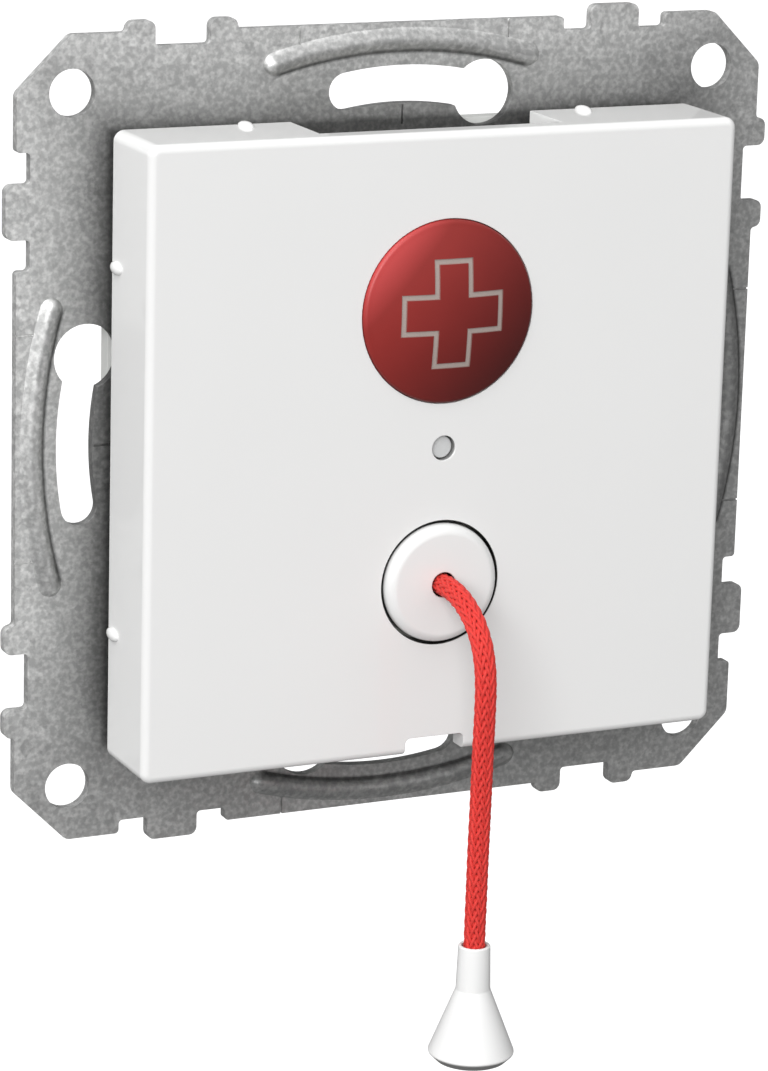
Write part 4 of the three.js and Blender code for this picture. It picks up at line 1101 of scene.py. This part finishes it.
CORD_DIAMETER = 1.95 * MM
CORD_STRANDS = 12  # each way round
CORD_TURNS = 4.0
STRAND_RADIUS = 0.155 * MM
WEAVE_RISE = 0.08 * MM

CORD_SAMPLES = 540

# The route in Y and Z: straight out of the plunger, over and down into the handle
CORD_ROUTE = [Vector((0, y, z)) * MM for y, z in (
    (-1.9, -12.0), (-5.5, -12.0), (-9.0, -12.0), (-12.3, -12.0), (-13.6, -12.0), (-15.0, -12.2),
    (-16.4, -12.6), (-17.8, -13.25), (-19.1, -14.2), (-20.15, -15.5), (-20.8, -17.1), (-21.05, -18.9),
    (-21.05, -21.0), (-20.95, -24.0), (-20.85, -27.5), (-20.75, -31.0), (-20.65, -34.5), (-20.6, -38.0),
    (-20.55, -40.5), (-20.55, -43.0), (-20.55, -45.5), (-20.55, -47.9))]


def smooth_route(points, steps=6):
    """One smooth curve through the points, close enough together to measure along."""
    ends = [points[0] * 2 - points[1], *points, points[-1] * 2 - points[-2]]
    route = []
    for a, b, c, d in zip(ends, ends[1:], ends[2:], ends[3:]):
        knots = [0.0]
        for p, q in ((a, b), (b, c), (c, d)):
            knots.append(knots[-1] + math.sqrt((q - p).length))
        first = ((b - a) / (knots[1] - knots[0]) - (c - a) / (knots[2] - knots[0])
                 + (c - b) / (knots[2] - knots[1])) * (knots[2] - knots[1])
        second = ((c - b) / (knots[2] - knots[1]) - (d - b) / (knots[3] - knots[1])
                  + (d - c) / (knots[3] - knots[2])) * (knots[2] - knots[1])
        for k in range(steps):
            s = k / steps
            route.append(b * (2 * s ** 3 - 3 * s ** 2 + 1) + first * (s ** 3 - 2 * s ** 2 + s)
                         + c * (3 * s ** 2 - 2 * s ** 3) + second * (s ** 3 - s ** 2))
    route.append(points[-1])
    return route


def wire_through(name, points):
    """A line of edges for a node tree to follow."""
    return mesh_object(name, points, [(k, k + 1) for k in range(len(points) - 1)], [])


GEOMETRY = "NodeSocketGeometry"
INTEGER = "NodeSocketInt"
MATERIAL = "NodeSocketMaterial"
OBJECT = "NodeSocketObject"
VECTOR = "NodeSocketVector"


def braid_tree():
    """A braid round a line: strands wound both ways, each over two and under the next two."""
    tree, given, out = new_group("braid", "GeometryNodeTree", [
        ("Line", GEOMETRY, None), ("Strands", INTEGER, 8), ("Turns", FLOAT, 8.0), ("Radius", FLOAT, 1 * MM),
        ("Strand radius", FLOAT, 0.2 * MM), ("Weave rise", FLOAT, 0.1 * MM), ("Samples", INTEGER, 500),
        ("Yarn", MATERIAL, None), ("Core", MATERIAL, None)], [("Braid", GEOMETRY, None)])
    line = node(tree, "GeometryNodeMeshToCurve", {0: given["Line"]}).outputs[0]
    line = node(tree, "GeometryNodeResampleCurve", {"Curve": line, "Count": given["Samples"]}).outputs[0]
    along = node(tree, "GeometryNodeSplineParameter").outputs["Factor"]
    wound = calc(tree, "MULTIPLY", calc(tree, "MULTIPLY", along, given["Turns"]), 2 * math.pi)
    woven = calc(tree, "MULTIPLY", calc(tree, "MULTIPLY", wound, given["Strands"]), 0.5)
    normal = node(tree, "GeometryNodeInputNormal").outputs[0]
    tangent = node(tree, "GeometryNodeInputTangent").outputs[0]
    side = vector_calc(tree, "CROSS_PRODUCT", tangent, normal)
    middle = calc(tree, "SUBTRACT", given["Radius"], calc(tree, "ADD", given["Strand radius"],
                                                          given["Weave rise"]))
    section = node(tree, "GeometryNodeCurvePrimitiveCircle", {
        "Resolution": 6, "Radius": given["Strand radius"]}).outputs[0]
    parts = []
    for way in (1, -1):
        copies = node(tree, "GeometryNodeDuplicateElements", {
            "Geometry": line, "Amount": given["Strands"]}, domain="SPLINE")
        share = calc(tree, "DIVIDE", copies.outputs["Duplicate Index"], given["Strands"])
        # The duplicate's number is read before the strand is bent away
        kept = node(tree, "GeometryNodeCaptureAttribute", domain="POINT")
        kept.capture_items.new("FLOAT", "Share")
        tree.links.new(copies.outputs["Geometry"], kept.inputs["Geometry"])
        tree.links.new(share, kept.inputs["Share"])
        angle = calc(tree, "MULTIPLY_ADD", kept.outputs["Share"], 2 * math.pi,
                     calc(tree, "MULTIPLY", wound, float(way)))
        number = calc(tree, "MULTIPLY", kept.outputs["Share"], given["Strands"])
        turn = calc(tree, "MULTIPLY", number, math.pi)
        phase = calc(tree, "SUBTRACT", calc(tree, "MULTIPLY_ADD", woven, float(way), turn), math.pi / 4)
        over = calc(tree, "MULTIPLY", calc(tree, "COSINE", phase), float(way))
        reach = calc(tree, "MULTIPLY_ADD", over, given["Weave rise"], middle)
        off_normal = scaled(tree, normal, calc(tree, "MULTIPLY", calc(tree, "COSINE", angle), reach))
        off_side = scaled(tree, side, calc(tree, "MULTIPLY", calc(tree, "SINE", angle), reach))
        offset = vector_calc(tree, "ADD", off_normal, off_side)
        bent = node(tree, "GeometryNodeSetPosition", {
            "Geometry": kept.outputs["Geometry"], "Offset": offset}).outputs[0]
        strands = node(tree, "GeometryNodeCurveToMesh", {
            "Curve": bent, "Profile Curve": section, "Fill Caps": True}).outputs[0]
        parts.append(node(tree, "GeometryNodeSetMaterial", {
            "Geometry": strands, "Material": given["Yarn"]}).outputs[0])
    core_section = node(tree, "GeometryNodeCurvePrimitiveCircle", {
        "Resolution": 20, "Radius": calc(tree, "MULTIPLY", middle, 0.97)}).outputs[0]
    core = node(tree, "GeometryNodeCurveToMesh", {
        "Curve": line, "Profile Curve": core_section, "Fill Caps": True}).outputs[0]
    parts.append(node(tree, "GeometryNodeSetMaterial", {
        "Geometry": core, "Material": given["Core"]}).outputs[0])
    joined = node(tree, "GeometryNodeJoinGeometry")
    for part in parts:
        tree.links.new(part, joined.inputs[0])
    shaded = node(tree, "GeometryNodeSetShadeSmooth", {"Geometry": joined.outputs[0]}).outputs[0]
    tree.links.new(node(tree, "GeometryNodeRealizeInstances", {0: shaded}).outputs[0], out["Braid"])
    return tree


def run_tree(host, tree, **values):
    """Runs a node tree on a host and keeps its result as a plain mesh."""
    modifier = host.modifiers.new("tree", "NODES")
    modifier.node_group = tree
    for item in tree.interface.items_tree:
        key = item.name.replace(" ", "_")
        if item.in_out == "INPUT" and key in values:
            modifier[item.identifier] = values[key]
    return worked_in(host)


def pull_cord():
    """The braided cord, with the route that it follows and its length."""
    route = smooth_route(CORD_ROUTE)
    length = sum((b - a).length for a, b in zip(route, route[1:]))
    cord = run_tree(wire_through("braided_cord", route), braid_tree(), Strands=CORD_STRANDS,
                    Turns=CORD_TURNS, Radius=CORD_DIAMETER / 2, Strand_radius=STRAND_RADIUS,
                    Weave_rise=WEAVE_RISE, Samples=CORD_SAMPLES, Yarn=CORD_RED, Core=CORD_SHADE)
    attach(cord, "pull")
    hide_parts("pull_cord")
    return cord, route, length


def knot_finish():
    """The cord's yarn with the braid drawn in relief."""
    finish = cord_finish("knot_red", (0.5, 0.02, 0.015, 1), (0.8, 0.06, 0.045, 1), 0.75)
    tree = finish.node_tree
    position = place_on_piece(tree)
    waves = []
    for turn in ((0, 0, 0), (0, math.pi / 2, 0)):
        turned_place = node(tree, "ShaderNodeMapping", {"Vector": position, "Rotation": turn}).outputs[0]
        waves.append(node(tree, "ShaderNodeTexWave", {
            "Vector": turned_place, "Scale": 1 / (3.2 * MM), "Distortion": 1.5},
            bands_direction="DIAGONAL").outputs["Fac"])
    bump(tree, tree.nodes["Principled BSDF"], calc(tree, "MAXIMUM", *waves), 0.12 * MM, 0.8)
    return finish


KNOT_RED = knot_finish()
KNOT_TURNS = 2
KNOT_GROOVE = 0.14  # how deep the cord's turns are drawn in, as a share of the radius
KNOT_BLUNTNESS = 0.45  # 1 is pointed, 0 is a cylinder


def knot(name, node_name, axis):
    """A drawn-up knot: a lump with the cord's turns round it."""
    low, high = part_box(node_name)
    middle = (low + high) / 2
    if axis == "Y":
        start, end, centre = low.y, high.y, (middle.x, middle.z)
    else:
        start, end, centre = low.z, high.z, (middle.x, middle.y)
    radius = (high.x - low.x) / 2
    steps = 40
    profile = [(0, start)]
    for k in range(1, steps):
        share = k / steps
        body = math.sin(math.pi * share) ** KNOT_BLUNTNESS
        groove = 1 - KNOT_GROOVE * (0.5 + 0.5 * math.cos(2 * math.pi * KNOT_TURNS * share))
        profile.append((radius * body * groove, start + (end - start) * share))
    profile.append((0, end))
    lump = smooth(turned(name, profile, centre, axis=axis, steps=64), 60)
    return place(lump, "pull", "cord_red", KNOT_RED, node_name)


# Springs

def spring_tree():
    """A coil about an axis along Y, from front to back."""
    tree, given, out = new_group("coil_spring", "GeometryNodeTree", [
        ("Line", GEOMETRY, None), ("Front", VECTOR, None), ("Length", FLOAT, 5 * MM), ("Turns", FLOAT, 4.0),
        ("Radius", FLOAT, 3 * MM), ("Wire", FLOAT, 0.4 * MM), ("Finish", MATERIAL, None)],
        [("Spring", GEOMETRY, None)])
    coil = node(tree, "GeometryNodeCurveSpiral", {
        "Resolution": 40, "Rotations": given["Turns"], "Start Radius": given["Radius"],
        "End Radius": given["Radius"], "Height": calc(tree, "SUBTRACT", given["Length"], given["Wire"]),
        "Reverse": True}).outputs[0]
    half_wire = calc(tree, "MULTIPLY", given["Wire"], 0.5)
    inset = node(tree, "ShaderNodeCombineXYZ", {"Y": half_wire}).outputs[0]
    set_up = node(tree, "GeometryNodeTransform", {
        "Geometry": coil, "Translation": vector_calc(tree, "ADD", given["Front"], inset),
        "Rotation": (-math.pi / 2, 0, 0)}).outputs[0]
    section = node(tree, "GeometryNodeCurvePrimitiveCircle", {
        "Resolution": 12, "Radius": half_wire}).outputs[0]
    wire = node(tree, "GeometryNodeCurveToMesh", {
        "Curve": set_up, "Profile Curve": section, "Fill Caps": True}).outputs[0]
    shaded = node(tree, "GeometryNodeSetShadeSmooth", {"Geometry": wire}).outputs[0]
    whole = node(tree, "GeometryNodeRealizeInstances", {0: shaded}).outputs[0]
    tree.links.new(node(tree, "GeometryNodeSetMaterial", {
        "Geometry": whole, "Material": given["Finish"]}).outputs[0], out["Spring"])
    return tree


SPRING_WIRE = 0.45 * MM
SPRINGS = (  # node, joint, turns, travel, the end that stays: 0 at the front, 1 at the back
    ("button_spring", "button_press", 4, 1.2 * MM, 1),
    ("pull_spring", "cord_pull", 3, 2.0 * MM, 0),
)


def springs():
    """Both coils, each made to the size and place of its node."""
    tree = spring_tree()
    for node_name, joint, turns, travel, fixed in SPRINGS:
        low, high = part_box(node_name)
        middle = (low + high) / 2
        length = high.y - low.y
        front = Vector((middle.x, low.y, middle.z))
        coil = run_tree(wire_through(node_name + "_coil", [front, front + Vector((0, length, 0))]), tree,
                        Front=tuple(front), Length=length, Turns=float(turns),
                        Radius=(high.x - low.x - SPRING_WIRE) / 2, Wire=SPRING_WIRE, Finish=PLATED)
        place(coil, "unit", "bare_steel", PLATED, node_name)
        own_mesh(coil)


# Screws

def copies_tree():
    """One form copied to every point of the host."""
    tree, given, out = new_group("copies_on_points", "GeometryNodeTree", [
        ("Points", GEOMETRY, None), ("Form", OBJECT, None), ("Finish", MATERIAL, None)],
        [("Copies", GEOMETRY, None)])
    form = node(tree, "GeometryNodeObjectInfo", {"Object": given["Form"]}).outputs["Geometry"]
    copies = node(tree, "GeometryNodeInstanceOnPoints", {
        "Points": given["Points"], "Instance": form}).outputs[0]
    whole = node(tree, "GeometryNodeRealizeInstances", {0: copies}).outputs[0]
    tree.links.new(node(tree, "GeometryNodeSetMaterial", {
        "Geometry": whole, "Material": given["Finish"]}).outputs[0], out["Copies"])
    return tree


PAN_HEIGHT = 1.4 * MM
DRIVER_SLOT = (0.6 * MM, 0.5 * MM)  # depth, width


def slotted(screw, radius, end, inwards):
    """A driver slot across the end of a screw, cut inwards along +Y or -Y."""
    depth, width = DRIVER_SLOT
    reach = radius * 1.3
    ends = sorted((end - inwards * PAST, end + inwards * depth))
    cut(screw, block("slot", -reach, reach, *ends, -width / 2, width / 2))
    ease_edges(screw, 0.05 * MM, angle=55)
    return smooth(screw, 35)


def pan_head_screw(length):
    """A pan head screw with its head to the front, seated at y = 0, with a thread on its shank."""
    shank = 1.0 * MM
    core = 0.86 * MM
    pitch = 0.6 * MM
    root = 0.12 * MM  # half the flat between two turns
    head = 1.9 * MM
    head_round = 0.75 * MM
    profile = rounded([(0, -PAN_HEIGHT), (head, -PAN_HEIGHT, head_round), (head, 0)], closed=False)
    along = 0.0
    while along + pitch < length - shank:
        profile += [(core, along + root), (shank, along + pitch / 2), (core, along + pitch - root)]
        along += pitch
    profile += [(core, length - shank), (0, length)]
    return slotted(turned("screw", profile, (0, 0), steps=40), head, -PAN_HEIGHT, 1)


def terminal_screw():
    """A clamp screw that lies with its slotted end at y = 0, towards the back."""
    radius = 1.7 * MM
    length = 2.4 * MM
    end_round = 0.12 * MM
    profile = rounded([(0, -length), (radius, -length), (radius, 0, end_round), (0, 0)], closed=False)
    return slotted(turned("screw", profile, (0, 0), steps=48), radius, 0.0, -1)


SCREW_SETS = (  # name, the stem of its nodes' names, how many, length with a pan head
    ("assembly_screws", "assembly_screw", 4, 9.0 * MM),
    ("board_screws", "board_screw", 2, 6.0 * MM),
    ("terminal_screws", "terminal_screw", 4, None),
)


def screws():
    """Each set is one form, copied to the places of its nodes."""
    tree = copies_tree()
    for name, stem, count, length in SCREW_SETS:
        nodes = [f"{stem}_{k + 1}" for k in range(count)]
        boxes = [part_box(n) for n in nodes]
        if length is None:
            form = terminal_screw()
            places = [((low.x + high.x) / 2, high.y, (low.z + high.z) / 2) for low, high in boxes]
        else:
            form = pan_head_screw(length)
            places = [((low.x + high.x) / 2, low.y + PAN_HEIGHT, (low.z + high.z) / 2) for low, high in boxes]
        made = run_tree(mesh_object(name, places, [], []), tree, Form=form, Finish=PLATED)
        bpy.data.objects.remove(form)
        place(made, "unit", "bare_steel", PLATED, *nodes)


# What is behind the cover: the frame's own forms with softened edges

SOFTENED = (  # node, name, slot, finish, edge round
    ("carrier", "carrier_frame", "inner_white", INNER_WHITE, 0.12 * MM),
    ("housing", "housing_box", "housing_grey", HOUSING_GREY, 0.3 * MM),
    ("rear_cover", "rear_lid", "housing_grey", HOUSING_GREY, 0.25 * MM),
    ("circuit_board", "board_plate", "board_green", BOARD_GREEN, 0.06 * MM),
    ("call_switch", "call_switch_body", "switch_black", SWITCH_BLACK, 0.15 * MM),
    ("pull_switch", "pull_switch_body", "switch_black", SWITCH_BLACK, 0.12 * MM),
)


def softened_pieces():
    """The frame's own forms, with a small round on every edge."""
    for node_name, name, slot, finish, width in SOFTENED:
        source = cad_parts[node_name].data
        piece = mesh_object(name, [v.co for v in source.vertices], [],
                            [face.vertices[:] for face in source.polygons])
        merge(piece, 0.002 * MM)
        ease_edges(piece, width, angle=40)
        smooth(piece, 40)
        place(piece, "unit", slot, finish, node_name)


WIRE_PITCH = 5.08 * MM
WIRE_HOLE = 3.0 * MM
WIRE_HOLE_Z = -2.6 * MM
TERMINAL_SCREW_Z = 2.4 * MM
TERMINAL_POCKET = (1.85 * MM, 4.0 * MM)  # radius, depth
WIRE_DEPTH = 8 * MM
GROOVE = (0.15 * MM, 0.4 * MM)  # half width, depth


def terminal_block():
    """The block with its wire holes, the pockets of its screws and the grooves between its poles."""
    low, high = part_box("terminal_block")
    body = block("terminal_body", low.x, high.x, low.y, high.y, low.z, high.z)
    places = [(k - 1.5) * WIRE_PITCH for k in range(4)]
    past = high.y + PAST
    pocket, depth = TERMINAL_POCKET
    pockets = [disc("pocket", pocket, (x, TERMINAL_SCREW_Z), high.y - depth, past, steps=40) for x in places]
    half = WIRE_HOLE / 2
    holes = [block("wire_hole", x - half, x + half, high.y - WIRE_DEPTH, past, WIRE_HOLE_Z - half,
                   WIRE_HOLE_Z + half) for x in places]
    half_groove, groove_depth = GROOVE
    grooves = [block("groove", x - half_groove, x + half_groove, high.y - groove_depth, past, low.z - PAST,
                     high.z + PAST) for x in (-WIRE_PITCH, 0, WIRE_PITCH)]
    cut(body, gathered("pockets", pockets), gathered("wire_holes", holes), gathered("grooves", grooves))
    ease_edges(body, 0.15 * MM)
    smooth(body, 40)
    place(body, "unit", "terminal_green", TERMINAL_GREEN, "terminal_block")


# Camera, lights and floor

CAMERA_PLACE = Vector((-151.60, -323.60, 84.59)) * MM
CAMERA_TURN = (75.067, -1.541, -24.673)  # degrees about X, Y and Z
CAMERA_LENS = 139.45  # for a 36 mm sensor on the picture's long side


def camera():
    """The camera stands where the photograph was taken from."""
    data = bpy.data.cameras.new("camera")
    data.sensor_width = 36.0
    data.lens = CAMERA_LENS
    data.clip_start = 0.01
    data.clip_end = 30.0
    made = as_object("camera", data)
    made.location = CAMERA_PLACE
    made.rotation_euler = Euler([math.radians(turn) for turn in CAMERA_TURN], "XYZ")
    bpy.context.scene.camera = made


def soft_light(name, stand, aim, size, power):
    """A round soft light that stands in one place and points at another."""
    data = bpy.data.lights.new(name, "AREA")
    data.shape = "DISK"
    data.size = size
    data.energy = power
    made = as_object(name, data)
    made.location = stand
    made.rotation_euler = (Vector(aim) - Vector(stand)).to_track_quat("-Z", "Y").to_euler()


SKY_BRIGHT = (-0.597, -0.398, 0.697)  # where the sky is brightest


def sky():
    """White behind the part. As a light it is brightest from the upper left, and dark opposite."""
    world = bpy.data.worlds.new("studio")
    bpy.context.scene.world = world
    world.use_nodes = True
    tree = world.node_tree
    tree.nodes.clear()
    seen = node(tree, "ShaderNodeLightPath").outputs["Is Camera Ray"]
    direction = node(tree, "ShaderNodeTexCoord").outputs["Generated"]
    towards = vector_calc(tree, "DOT_PRODUCT", direction, SKY_BRIGHT)
    even = spread(tree, towards, 0.03, 0.60, -0.5, 0.2)
    glow = spread(tree, towards, 0.0, 0.25, 0.2, 1.0)
    lit = calc(tree, "ADD", even, glow)
    unseen = calc(tree, "SUBTRACT", 1.0, seen)
    strength = calc(tree, "MULTIPLY_ADD", lit, unseen, calc(tree, "MULTIPLY", seen, 1.05))
    shade = node(tree, "ShaderNodeBackground", {"Color": (1, 1, 1, 1), "Strength": strength})
    output = node(tree, "ShaderNodeOutputWorld")
    tree.links.new(shade.outputs[0], output.inputs["Surface"])


FLOOR_Z = -0.6
FLOOR_REACH = 8.0


def floor():
    """A plain pale floor far below, seen as white."""
    corners = [(x * FLOOR_REACH, y * FLOOR_REACH, FLOOR_Z) for x, y in ((-1, -1), (1, -1), (1, 1), (-1, 1))]
    made = mesh_object("floor", corners, [], [(0, 1, 2, 3)])
    finish, tree, shader = new_finish("pale_floor")
    tree.links.new(spread(tree, noise(tree, 0.3), 0.84, 0.88), shader.inputs["Roughness"])
    shader.inputs["Base Color"].default_value = (0.3, 0.3, 0.3, 1)
    shader.inputs["Emission Color"].default_value = (1, 1, 1, 1)
    seen = node(tree, "ShaderNodeLightPath").outputs["Is Camera Ray"]
    tree.links.new(seen, shader.inputs["Emission Strength"])
    made.data.materials.append(finish)


def studio():
    sky()
    floor()
    soft_light("key", stand=(-0.46, -0.70, 0.34), aim=(0, 0, -0.005), size=0.55, power=4.7)
    soft_light("top", stand=(-0.44, -0.14, 0.77), aim=(0, 0, 0), size=0.5, power=2.0)
    bpy.context.scene.view_settings.view_transform = "Standard"


camera()
cord, cord_path, cord_length = pull_cord()
studio()
mounting_plate()
cover()
call_button()
signal_lamp()
plunger_and_collar()
pull_handle()
knot("inner_knot_lump", "inner_knot", "Y")
outer_knot = knot("outer_knot_lump", "outer_knot", "Z")
springs()
screws()
softened_pieces()
terminal_block()
